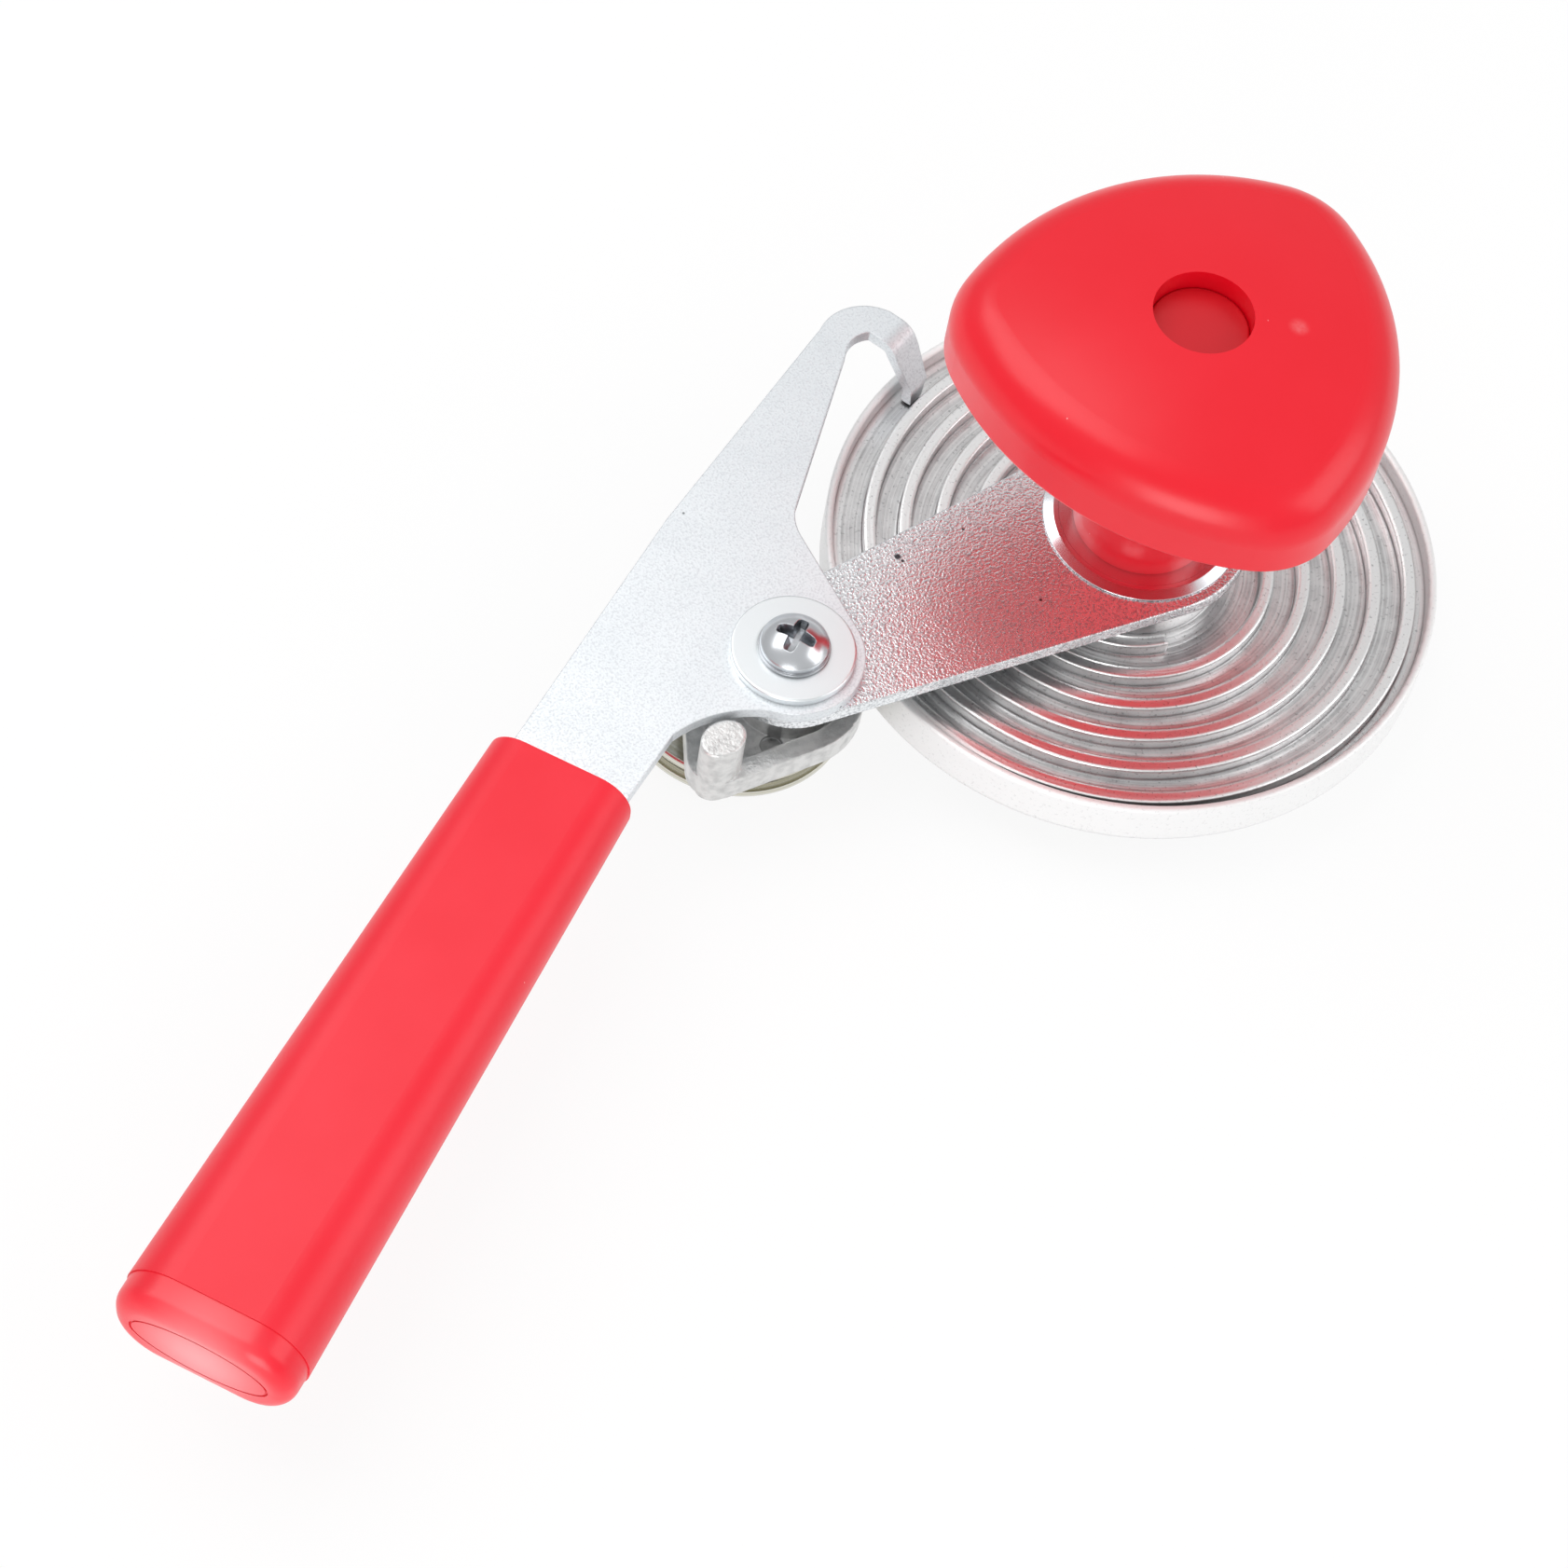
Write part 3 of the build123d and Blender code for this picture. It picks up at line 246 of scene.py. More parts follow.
@dataclass(frozen=True)
class Finish:
    """A surface finish that builds one material."""

    name: str
    colour: str

    def material(self) -> bpy.types.Material:
        """Build the material.

        Returns:
            The finished material.
        """
        material = bpy.data.materials.new(self.name)
        material.use_nodes = True
        tree = material.node_tree
        tree.nodes.clear()
        shader = add_node(tree, Kind.SHADER)
        self.dress(tree, shader)
        add_node(tree, Kind.SURFACE, {"Surface": shader.outputs["BSDF"]})
        return material

    def dress(self, tree: Tree, shader: Node) -> None:
        """Set the shader's values and feed its pattern nodes; each finish has its own.

        Args:
            tree: Node tree of the material.
            shader: The surface shader.
        """
        raise NotImplementedError

    def place(self, tree: Tree) -> Socket:
        """Position on the piece itself, which moves with it."""
        return add_node(tree, Kind.PLACE).outputs["Object"]

    def round_axis(self, tree: Tree, place: Socket, axis_mm: tuple[float, float]) -> tuple[Socket, Socket]:
        """Measure a place from an upright axis.

        Args:
            tree: Node tree of the material.
            place: Position on the piece.
            axis_mm: Where the axis stands.

        Returns:
            Distance from the axis and height along it.
        """
        parts = add_node(tree, Kind.SPLIT, {"Vector": place})
        flat = add_node(tree, Kind.JOIN, {"X": parts.outputs["X"], "Y": parts.outputs["Y"]})
        middle = (axis_mm[0] * MM, axis_mm[1] * MM, 0.0)
        away = add_node(tree, Kind.VECTOR_MATH, {0: flat.outputs["Vector"], 1: middle}, operation="DISTANCE")
        return away.outputs["Value"], parts.outputs["Z"]

    def scatter(self, tree: Tree, place: Socket, spots: Spots) -> Socket:
        """Scatter small spots over the surface.

        Args:
            tree: Node tree of the material.
            place: Position on the piece.
            spots: What is scattered.

        Returns:
            How much of a spot lies at each place.
        """
        cells = add_node(tree, Kind.CELLS, {"Vector": place, "Scale": 1.0 / (spots.spacing_mm * MM)})
        dot = add_node(tree, Kind.RAMP, spots.edge.of(cells.outputs["Distance"]))
        drawn = add_node(tree, Kind.SPLIT_COLOUR, {"Color": cells.outputs["Color"]}).outputs[spots.picked_by]
        rare = add_node(tree, Kind.MATH, {0: drawn, 1: spots.rarity}, operation="GREATER_THAN")
        return add_node(
            tree, Kind.MATH, {0: dot.outputs["Result"], 1: rare.outputs["Value"]}, operation="MULTIPLY"
        ).outputs["Value"]


@dataclass(frozen=True)
class MouldedPlastic(Finish):
    """Injection-moulded polypropylene.

    It gives the eye an even, deep red with a satin gloss that is slightly wavy where the moulding shrank,
    a little light inside its skin, a few pale specks and rub marks, and a painted sheen where one is given.
    """

    pale_colour: str
    roughness: float
    wave: Pattern = Pattern(14.0, 3.0)
    clouding: Ramp = Ramp(0.35, 0.7, 0.0, 0.15)
    wave_relief: Relief = Relief(0.25, 0.35)
    skin: Pattern = Pattern(0.35, 2.0)
    skin_relief: Relief = Relief(0.02, 0.25)
    specks: Spots = Spots(2.6, Ramp(0.03, 0.05, 1.0, 0.0), 0.95, "Red")
    # Pale colour of the specks and the knob's scuff, and of the cap's painted sheen.
    speck_scuff_and_sheen_colour: str = "#f3a9ac"
    rubbing: Pattern = Pattern(0.7, 4.0)
    glow_share: float = 0.08
    glow_mm: tuple[float, float, float] = (1.2, 0.3, 0.2)
    marks: tuple[Mark, ...] = ()

    def dress(self, tree: Tree, shader: Node) -> None:
        """Moulded plastic: even colour, faint clouding, fine skin, a few pale specks, real scuffs and painted
        sheen.

        Args:
            tree: Node tree of the material.
            shader: The surface shader.
        """
        place = self.place(tree)
        wave = add_node(tree, Kind.NOISE, self.wave.at(place)).outputs["Fac"]
        clouding = add_node(tree, Kind.RAMP, self.clouding.of(wave))
        base = add_node(
            tree, Kind.MIX,
            {"Factor": clouding.outputs["Result"], "A": linear(self.colour), "B": linear(self.pale_colour)},
            data_type="RGBA",
        )
        pale = self.scatter(tree, place, self.specks)
        # Pale marks: the knob's scuff is real wear, the cap's mark is a painted sheen.
        for mark in self.marks:
            pale = self.rub_and_sheen(tree, place, mark, pale)
        dressed = add_node(
            tree, Kind.MIX, {"Factor": pale, "A": base.outputs["Result"], "B": linear(self.speck_scuff_and_sheen_colour)},
            data_type="RGBA",
        )
        tree.links.new(dressed.outputs["Result"], shader.inputs["Base Color"])
        shader.inputs["Roughness"].default_value = self.roughness
        shader.inputs["IOR"].default_value = POLYPROPYLENE_IOR
        shader.inputs["Subsurface Weight"].default_value = self.glow_share
        shader.inputs["Subsurface Radius"].default_value = [depth * MM for depth in self.glow_mm]
        shader.inputs["Subsurface Scale"].default_value = 1.0
        skin = add_node(tree, Kind.NOISE, self.skin.at(place)).outputs["Fac"]
        wavy = add_node(tree, Kind.BUMP, self.wave_relief.over(wave)).outputs["Normal"]
        fine = add_node(tree, Kind.BUMP, self.skin_relief.over(skin, wavy)).outputs["Normal"]
        tree.links.new(fine, shader.inputs["Normal"])

    def rub_and_sheen(self, tree: Tree, place: Socket, mark: Mark, under: Socket) -> Socket:
        """Add one pale mark round one point of the surface; the knob's scuff is real wear, the cap's mark is
        a painted sheen.

        Args:
            tree: Node tree of the material.
            place: Position on the piece.
            mark: The mark to add.
            under: What the mark is added to.

        Returns:
            The sum of the mark and what lies under it.
        """
        middle = [value * MM for value in mark.middle_mm]
        away = add_node(tree, Kind.VECTOR_MATH, {0: place, 1: middle}, operation="DISTANCE").outputs["Value"]
        reach = Ramp(0.0, mark.radius_mm * MM, mark.strength, 0.0)
        fade = add_node(tree, Kind.RAMP, reach.of(away), interpolation_type="SMOOTHSTEP")
        noise = add_node(tree, Kind.NOISE, self.rubbing.at(place)).outputs["Fac"]
        broken = add_node(tree, Kind.RAMP, Ramp(0.0, 1.0, 1.0 - mark.raggedness, 1.0).of(noise))
        drawn = add_node(
            tree, Kind.MATH, {0: fade.outputs["Result"], 1: broken.outputs["Result"]}, operation="MULTIPLY"
        )
        return add_node(
            tree, Kind.MATH, {0: under, 1: drawn.outputs["Value"]}, operation="ADD", use_clamp=True
        ).outputs["Value"]


@dataclass(frozen=True)
class PlatedSteel(Finish):
    """Sheet steel, blanked and zinc-plated in a barrel.

    It gives the eye a pale, slightly blue metal with a crystalline grain that breaks up reflections, a faint
    whitish bloom on the arm, a few dark pinholes and softened blanked edges.
    """

    shade_colour: str
    roughness: float
    grain_colour: str = "#9a9ea4"
    pinhole_colour: str = "#4a4c50"
    speckle: Speckle = Speckle.FAINT
    bloom: float = 0.0
    cloud: Pattern = Pattern(9.0, 5.0)
    clouding: Ramp = Ramp(0.4, 0.75, 0.0, 0.35)
    grain: Pattern = Pattern(0.36, 1.5)
    grain_bounds: tuple[float, float] = (0.46, 0.68)
    grain_relief: Relief = Relief(0.02, 0.7)
    gloss_bounds: tuple[float, float] = (0.3, 0.7)
    gloss_spread: tuple[float, float] = (-0.06, 0.1)
    pinholes: Spots = Spots(5.0, Ramp(0.035, 0.065, 0.9, 0.0), 0.6, "Green")
    pits: tuple[Pit, ...] = ()
    pit_depth: float = 2.0
    edge_mm: float = 0.3
    edge_samples: int = 4

    def dress(self, tree: Tree, shader: Node) -> None:
        """Zinc plate: clouded pale metal with a granular skin, pinholes and softened blanked edges.

        Args:
            tree: Node tree of the material.
            shader: The surface shader.
        """
        place = self.place(tree)
        cloud = add_node(tree, Kind.NOISE, self.cloud.at(place)).outputs["Fac"]
        shade = add_node(tree, Kind.RAMP, self.clouding.of(cloud))
        base = add_node(
            tree, Kind.MIX,
            {"Factor": shade.outputs["Result"], "A": linear(self.colour), "B": linear(self.shade_colour)},
            data_type="RGBA",
        )
        grain = add_node(tree, Kind.NOISE, self.grain.at(place)).outputs["Fac"]
        grains = add_node(tree, Kind.RAMP, Ramp(*self.grain_bounds, 0.0, self.speckle.value).of(grain))
        grainy = add_node(
            tree, Kind.MIX,
            {"Factor": grains.outputs["Result"], "A": base.outputs["Result"], "B": linear(self.grain_colour)},
            data_type="RGBA",
        )
        dark = self.scatter(tree, place, self.pinholes)
        for pit in self.pits:
            dark = self.sink(tree, place, pit, dark)
        dressed = add_node(
            tree, Kind.MIX, {"Factor": dark, "A": grainy.outputs["Result"], "B": linear(self.pinhole_colour)},
            data_type="RGBA",
        )
        tree.links.new(dressed.outputs["Result"], shader.inputs["Base Color"])
        shader.inputs["Metallic"].default_value = 1.0 - self.bloom
        smoothest, roughest = (self.roughness + change for change in self.gloss_spread)
        gloss = add_node(tree, Kind.RAMP, Ramp(*self.gloss_bounds, smoothest, roughest).of(grain))
        tree.links.new(gloss.outputs["Result"], shader.inputs["Roughness"])
        edge = add_node(tree, Kind.BEVEL, {"Radius": self.edge_mm * MM}, samples=self.edge_samples)
        rough = add_node(tree, Kind.BUMP, self.grain_relief.over(grain, edge.outputs["Normal"]))
        tree.links.new(rough.outputs["Normal"], shader.inputs["Normal"])

    def sink(self, tree: Tree, place: Socket, pit: Pit, under: Socket) -> Socket:
        """Add one dark pit to the arm's top face.

        Args:
            tree: Node tree of the material.
            place: Position on the piece.
            pit: The pit to add.
            under: The darkness that is there already.

        Returns:
            The darkness with the pit.
        """
        middle = (pit.x_mm * MM, pit.y_mm * MM, ARM_TOP_MM * MM)
        away = add_node(tree, Kind.VECTOR_MATH, {0: place, 1: middle}, operation="DISTANCE").outputs["Value"]
        hole = add_node(tree, Kind.RAMP, Ramp(0.0, pit.radius_mm * MM, self.pit_depth, 0.0).of(away))
        return add_node(
            tree, Kind.MATH, {0: under, 1: hole.outputs["Result"]}, operation="MAXIMUM"
        ).outputs["Value"]


@dataclass(frozen=True)
class CastDisc(Finish):
    """Die-cast aluminium, tumbled bright and turned.

    It gives the eye bright crests over channel floors with fine turned rings and painted shade that greys
    them more the deeper they lie, painted shade at the feet where the ridges meet the floor, and a matt,
    pale, faintly speckled outer wall.
    """

    # Colour of the painted shade in the channels.
    channel_shade_colour: str = "#b9b8b9"
    # Colour of the real flecks, also used for the painted shade at the ridges' feet.
    fleck_and_shade_colour: str = "#707073"
    wall_colour: str = "#f6f6f6"
    floor_z_mm: float = 4.6
    crest_z_mm: float = 7.0
    wall_radius_mm: float = 45.2
    wall_fade_mm: float = 0.5
    wobble: Pattern = Pattern(9.0, 1.0)
    wobble_reach_mm: float = 0.4
    rings: Pattern = Pattern(0.5, 2.0)
    ring_shade: Ramp = Ramp(0.35, 0.65, 0.55, 1.25)
    ring_relief: Relief = Relief(0.05, 0.5)
    patches: Pattern = Pattern(3.0, 6.0)
    patch_shade: Ramp = Ramp(0.35, 0.75, 0.45, 0.8)
    pits: Pattern = Pattern(0.5, 2.0)
    flecks: Ramp = Ramp(0.6, 0.74, 0.0, 0.5)
    wall_flecks: Ramp = Ramp(0.0, 1.0, 0.35, 1.0)
    pit_relief: Relief = Relief(0.04, 0.5)
    # Reach and strength of the painted shade where the ridges meet the floor.
    nook_mm: float = 1.2
    nook_samples: int = 8
    nook_shade: Ramp = Ramp(0.35, 0.8, 0.8, 0.0)
    metal: Ramp = Ramp(0.0, 1.0, 0.7, 1.0)
    gloss: Ramp = Ramp(0.0, 1.0, 0.55, 0.3)
    edge_mm: float = 0.8
    edge_samples: int = 8

    def dress(self, tree: Tree, shader: Node) -> None:
        """Cast disc: bright crests, channels greyed by painted shade, with turned rings, matt speckled outer
        wall.

        Args:
            tree: Node tree of the material.
            shader: The surface shader.
        """
        place = self.place(tree)
        radius, height = self.round_axis(tree, place, (0.0, 0.0))
        wobble = add_node(tree, Kind.NOISE, self.wobble.at(place)).outputs["Fac"]
        drift = add_node(
            tree, Kind.MATH, {0: wobble, 1: self.wobble_reach_mm * MM, 2: radius}, operation="MULTIPLY_ADD"
        )
        rings = add_node(
            tree, Kind.NOISE, self.rings.at(drift.outputs["Value"], along="W"), noise_dimensions="1D"
        ).outputs["Fac"]
        fade_end = self.wall_radius_mm + self.wall_fade_mm
        inside = add_node(
            tree, Kind.RAMP, Ramp(self.wall_radius_mm * MM, fade_end * MM, 1.0, 0.0).of(radius)
        ).outputs["Result"]
        # Painted shade: the channels grow greyer towards their floors.
        depth = Ramp(self.floor_z_mm * MM, self.crest_z_mm * MM, 1.0, 0.0)
        dark = self.channel_shade(tree, place, rings, add_node(tree, Kind.RAMP, depth.of(height)), inside)
        pits = add_node(tree, Kind.NOISE, self.pits.at(place)).outputs["Fac"]
        self.paint(tree, shader, dark, pits, inside)
        metal = add_node(tree, Kind.RAMP, self.metal.of(inside))
        tree.links.new(metal.outputs["Result"], shader.inputs["Metallic"])
        gloss = add_node(tree, Kind.RAMP, self.gloss.of(inside))
        tree.links.new(gloss.outputs["Result"], shader.inputs["Roughness"])
        edge = add_node(tree, Kind.BEVEL, {"Radius": self.edge_mm * MM}, samples=self.edge_samples)
        turned = add_node(tree, Kind.BUMP, self.ring_relief.over(rings, edge.outputs["Normal"]))
        pitted = add_node(tree, Kind.BUMP, self.pit_relief.over(pits, turned.outputs["Normal"]))
        tree.links.new(pitted.outputs["Normal"], shader.inputs["Normal"])

    def channel_shade(self, tree: Tree, place: Socket, rings: Socket, depth: Node, inside: Socket) -> Socket:
        """Work out the painted shade in the channels: greyer the deeper a place lies, broken up by random
        patches and the turned rings.

        Args:
            tree: Node tree of the material.
            place: Position on the piece.
            rings: The turned rings.
            depth: How deep in a channel a place lies.
            inside: 1 within the outer wall and 0 on it.

        Returns:
            The share of the painted channel shade's colour.
        """
        patches = add_node(tree, Kind.NOISE, self.patches.at(place)).outputs["Fac"]
        patchy = add_node(tree, Kind.RAMP, self.patch_shade.of(patches))
        lines = add_node(tree, Kind.RAMP, self.ring_shade.of(rings))
        grey = add_node(
            tree, Kind.MATH, {0: depth.outputs["Result"], 1: patchy.outputs["Result"]}, operation="MULTIPLY"
        )
        lined = add_node(
            tree, Kind.MATH, {0: grey.outputs["Value"], 1: lines.outputs["Result"]}, operation="MULTIPLY"
        )
        return add_node(
            tree, Kind.MATH, {0: lined.outputs["Value"], 1: inside}, operation="MULTIPLY", use_clamp=True
        ).outputs["Value"]

    def paint(self, tree: Tree, shader: Node, dark: Socket, pits: Socket, inside: Socket) -> None:
        """Put the disc's colours together.

        Args:
            tree: Node tree of the material.
            shader: The surface shader.
            dark: The share of the painted channel shade's colour.
            pits: The pattern of fine pits.
            inside: 1 within the outer wall and 0 on it.
        """
        fleck_and_shade = linear(self.fleck_and_shade_colour)
        base = add_node(
            tree, Kind.MIX, {"Factor": dark, "A": linear(self.colour), "B": linear(self.channel_shade_colour)},
            data_type="RGBA",
        )
        walled = add_node(
            tree, Kind.MIX, {"Factor": inside, "A": linear(self.wall_colour), "B": base.outputs["Result"]},
            data_type="RGBA",
        )
        flecks = add_node(tree, Kind.RAMP, self.flecks.of(pits))
        sparse = add_node(tree, Kind.RAMP, self.wall_flecks.of(inside))
        fewer = add_node(
            tree, Kind.MATH, {0: flecks.outputs["Result"], 1: sparse.outputs["Result"]}, operation="MULTIPLY"
        )
        flecked = add_node(
            tree, Kind.MIX, {"Factor": fewer.outputs["Value"], "A": walled.outputs["Result"], "B": fleck_and_shade},
            data_type="RGBA",
        )
        # Painted shade: occlusion darkens the feet of the ridges towards the flecks' colour.
        nooks = add_node(tree, Kind.OCCLUSION, {"Distance": self.nook_mm * MM}, samples=self.nook_samples)
        foot_shade = add_node(tree, Kind.RAMP, self.nook_shade.of(nooks.outputs["AO"]))
        foot_shaded = add_node(
            tree, Kind.MIX, {"Factor": foot_shade.outputs["Result"], "A": flecked.outputs["Result"], "B": fleck_and_shade},
            data_type="RGBA",
        )
        tree.links.new(foot_shaded.outputs["Result"], shader.inputs["Base Color"])


@dataclass(frozen=True)
class RawCasting(Finish):
    """Zinc or aluminium die casting, as it leaves the mould.

    It gives the eye a dull, mottled grey metal with a rough cast skin, rounded edges and the darker round
    mark of the pin that pushed it out.
    """

    dark_colour: str = "#8f9091"
    ejector_colour: str = "#5c5d5f"
    roughness: float = 0.45
    mottle: Pattern = Pattern(1.6, 6.0)
    mottling: Ramp = Ramp(0.42, 0.68, 0.0, 0.35)
    ejector_mm: tuple[float, float] = (-67.09, -6.78)
    ejector_radius_mm: float = 1.75
    ejector_fade_mm: float = 0.15
    ejector_share: float = 0.4
    skin: Pattern = Pattern(0.6, 3.0)
    skin_relief: Relief = Relief(0.12, 0.8)
    edge_mm: float = 0.4
    edge_samples: int = 6

    def dress(self, tree: Tree, shader: Node) -> None:
        """Raw casting: mottled metal with cast skin and pits.

        Args:
            tree: Node tree of the material.
            shader: The surface shader.
        """
        place = self.place(tree)
        mottle = add_node(tree, Kind.NOISE, self.mottle.at(place)).outputs["Fac"]
        shade = add_node(tree, Kind.RAMP, self.mottling.of(mottle))
        base = add_node(
            tree, Kind.MIX,
            {"Factor": shade.outputs["Result"], "A": linear(self.colour), "B": linear(self.dark_colour)},
            data_type="RGBA",
        )
        away, _ = self.round_axis(tree, place, self.ejector_mm)
        fade_end = self.ejector_radius_mm + self.ejector_fade_mm
        mark = Ramp(self.ejector_radius_mm * MM, fade_end * MM, self.ejector_share, 0.0)
        stamped = add_node(tree, Kind.RAMP, mark.of(away)).outputs["Result"]
        marked = add_node(
            tree, Kind.MIX,
            {"Factor": stamped, "A": base.outputs["Result"], "B": linear(self.ejector_colour)},
            data_type="RGBA",
        )
        tree.links.new(marked.outputs["Result"], shader.inputs["Base Color"])
        shader.inputs["Metallic"].default_value = 1.0
        shader.inputs["Roughness"].default_value = self.roughness
        skin = add_node(tree, Kind.NOISE, self.skin.at(place)).outputs["Fac"]
        edge = add_node(tree, Kind.BEVEL, {"Radius": self.edge_mm * MM}, samples=self.edge_samples)
        rough = add_node(tree, Kind.BUMP, self.skin_relief.over(skin, edge.outputs["Normal"]))
        tree.links.new(rough.outputs["Normal"], shader.inputs["Normal"])


@dataclass(frozen=True)
class TurnedMetal(Finish):
    """Metal that was turned, or pressed from bright sheet.

    It gives the eye a clean reflecting metal with faint rings about its own axis, softened edges and painted
    shade in its recesses.
    """

    roughness: float
    line_colour: str = "#a9abb0"
    # Colour of the painted shade in recesses.
    recess_shade_colour: str = "#54575a"
    axis_mm: tuple[float, float] = (0.0, 0.0)
    rings: Pattern = Pattern(0.3, 3.0)
    ring_bounds: tuple[float, float] = (0.35, 0.7)
    ring_share: float = 0.3
    ring_relief: Relief = Relief(0.015, 0.5)
    # Reach and strength of the painted shade in recesses.
    nook_mm: float = 1.5
    nook_samples: int = 8
    nook_bounds: tuple[float, float] = (0.3, 0.8)
    nook_shade_share: float = 0.3
    edge_mm: float = 0.2
    edge_samples: int = 4

    def dress(self, tree: Tree, shader: Node) -> None:
        """Turned metal: bright ground colour, fine rings, painted shade in recesses and softened edges.

        Args:
            tree: Node tree of the material.
            shader: The surface shader.
        """
        radius, height = self.round_axis(tree, self.place(tree), self.axis_mm)
        along = add_node(tree, Kind.MATH, {0: radius, 1: height}, operation="ADD").outputs["Value"]
        rings = add_node(
            tree, Kind.NOISE, self.rings.at(along, along="W"), noise_dimensions="1D"
        ).outputs["Fac"]
        lines = add_node(tree, Kind.RAMP, Ramp(*self.ring_bounds, 0.0, self.ring_share).of(rings))
        base = add_node(
            tree, Kind.MIX,
            {"Factor": lines.outputs["Result"], "A": linear(self.colour), "B": linear(self.line_colour)},
            data_type="RGBA",
        )
        # Painted shade: occlusion darkens recesses, such as the screw's cross and the washer's foot.
        nooks = add_node(tree, Kind.OCCLUSION, {"Distance": self.nook_mm * MM}, samples=self.nook_samples)
        recess = Ramp(*self.nook_bounds, self.nook_shade_share, 0.0)
        recess_shade = add_node(tree, Kind.RAMP, recess.of(nooks.outputs["AO"])).outputs["Result"]
        recess_shaded = add_node(
            tree, Kind.MIX,
            {"Factor": recess_shade, "A": base.outputs["Result"], "B": linear(self.recess_shade_colour)},
            data_type="RGBA",
        )
        tree.links.new(recess_shaded.outputs["Result"], shader.inputs["Base Color"])
        shader.inputs["Metallic"].default_value = 1.0
        shader.inputs["Roughness"].default_value = self.roughness
        edge = add_node(tree, Kind.BEVEL, {"Radius": self.edge_mm * MM}, samples=self.edge_samples)
        turned = add_node(tree, Kind.BUMP, self.ring_relief.over(rings, edge.outputs["Normal"]))
        tree.links.new(turned.outputs["Normal"], shader.inputs["Normal"])


KNOB_SCUFF = Mark((11.5, -7.6, 65.1), 1.9, 0.45)
# Painted sheen: a smooth pale patch on the cap's end face that stands in for the light it catches; it is not
# wear.
CAP_PAINTED_SHEEN = Mark((-185.4, -63.4, 16.4), 13.0, 0.75, raggedness=0.0)
ARM_PITS = (Pit(-37.5, 9.6, 0.7), Pit(-37.2, 8.6, 0.35))

KNOB_RED = MouldedPlastic("moulded_red_knob", "#e20620", "#ee2036", 0.3, marks=(KNOB_SCUFF,))
# Painted shade: the plug at the bottom of the knob's hole is a darker red than the knob, for the shade in the
# hole.
PLUG_RED_PAINTED_SHADE = MouldedPlastic("moulded_red_plug_painted_shade", "#c80b1c", "#d21a2a", 0.34)
# The cap has its own material to carry the painted sheen.
CAP_RED = MouldedPlastic("moulded_red_cap", "#e9162c", "#f8384c", 0.3, marks=(CAP_PAINTED_SHEEN,))
GRIP_RED = MouldedPlastic("moulded_red_grip", "#e9162c", "#f8384c", 0.38)

DISC_CASTING = CastDisc("cast_aluminium_disc", "#fafafa")
CARRIER_CASTING = RawCasting("raw_die_casting", "#e2e2e1")

ARM_ZINC = PlatedSteel(
    "zinc_plated_arm", "#f3f6f8", "#e3e7eb", 0.22, grain_colour="#8c9096", speckle=Speckle.STRONG, bloom=0.12,
    grain=Pattern(0.4, 1.5), grain_relief=Relief(0.12, 0.7), pits=ARM_PITS,
)
LEVER_ZINC = PlatedSteel("zinc_plated_lever", "#eaeef1", "#dde2e6", 0.46)

BRONZE = TurnedMetal("sintered_bronze", "#a9824a", 0.35, line_colour="#8a6636")
PLAIN_STEEL = TurnedMetal("plain_steel", "#b9bbbf", 0.3)
CUP_ZINC = TurnedMetal(
    "bright_zinc_washer", "#e4e6ea", 0.18, ring_share=0.0, ring_relief=Relief(0.003, 0.5)
)
# Strong painted shade at the pivot washer's foot.
PIVOT_ZINC = TurnedMetal(
    "bright_zinc_pivot_washer", "#eff3f5", 0.34, axis_mm=PIVOT_MM, ring_share=0.0,
    ring_relief=Relief(0.002, 0.5), nook_mm=1.0, nook_shade_share=0.8,
)
# Painted shade darkens the screw's cross recess.
SCREW_NICKEL = TurnedMetal(
    "nickel_plated_screw", "#d4d7db", 0.24, axis_mm=PIVOT_MM, ring_share=0.0,
    ring_relief=Relief(0.003, 0.5), nook_shade_share=0.65,
)
PIN_STEEL = TurnedMetal("turned_steel_pin", "#c3c4c6", 0.25, axis_mm=ROLLER_MM)
ROLLER_STEEL = TurnedMetal(
    "yellow_passivated_steel", "#dddcd4", 0.2, line_colour="#b5b095", axis_mm=ROLLER_MM,
    rings=Pattern(0.45, 3.0), ring_share=0.6, ring_relief=Relief(0.04, 0.5),
)


def coat(finish: Finish, *nodes: str) -> None:
    """Give carried-over CAD nodes one material.

    Args:
        finish: The finish that replaces all of the nodes' slots.
        *nodes: Names of the CAD nodes.
    """
    material = finish.material()
    for node in nodes:
        obj = frame["nodes"][node]
        for slot in obj.material_slots:
            slot.material = material
        if not obj.material_slots:
            obj.data.materials.append(material)
        LOG.info("%s: %s", node, material.name)


@dataclass
class Head:
    """Disc, knob and the stack on the centre bolt: the part that is held still."""

    disc: CastDisc = DISC_CASTING
    washer: TurnedMetal = CUP_ZINC
    red: MouldedPlastic = KNOB_RED
    # The plug's darker red is painted shade.
    plug: MouldedPlastic = PLUG_RED_PAINTED_SHADE
    steel: TurnedMetal = PLAIN_STEEL

    def build(self) -> None:
        """Dress the disc, the washers, the knob and the hidden fasteners."""
        coat(self.disc, "seaming_disc")
        coat(self.washer, "cup_washer", "thrust_washer")
        coat(self.red, "knob")
        coat(self.plug, "knob_plug")
        coat(self.steel, "spacer_sleeve", "centre_washer", "lock_washer", "centre_bolt", "centre_nut")


@dataclass
class Arm:
    """Crank arm that turns round the post."""

    plate: PlatedSteel = ARM_ZINC

    def build(self) -> None:
        """Dress the arm."""
        coat(self.plate, "crank_arm")


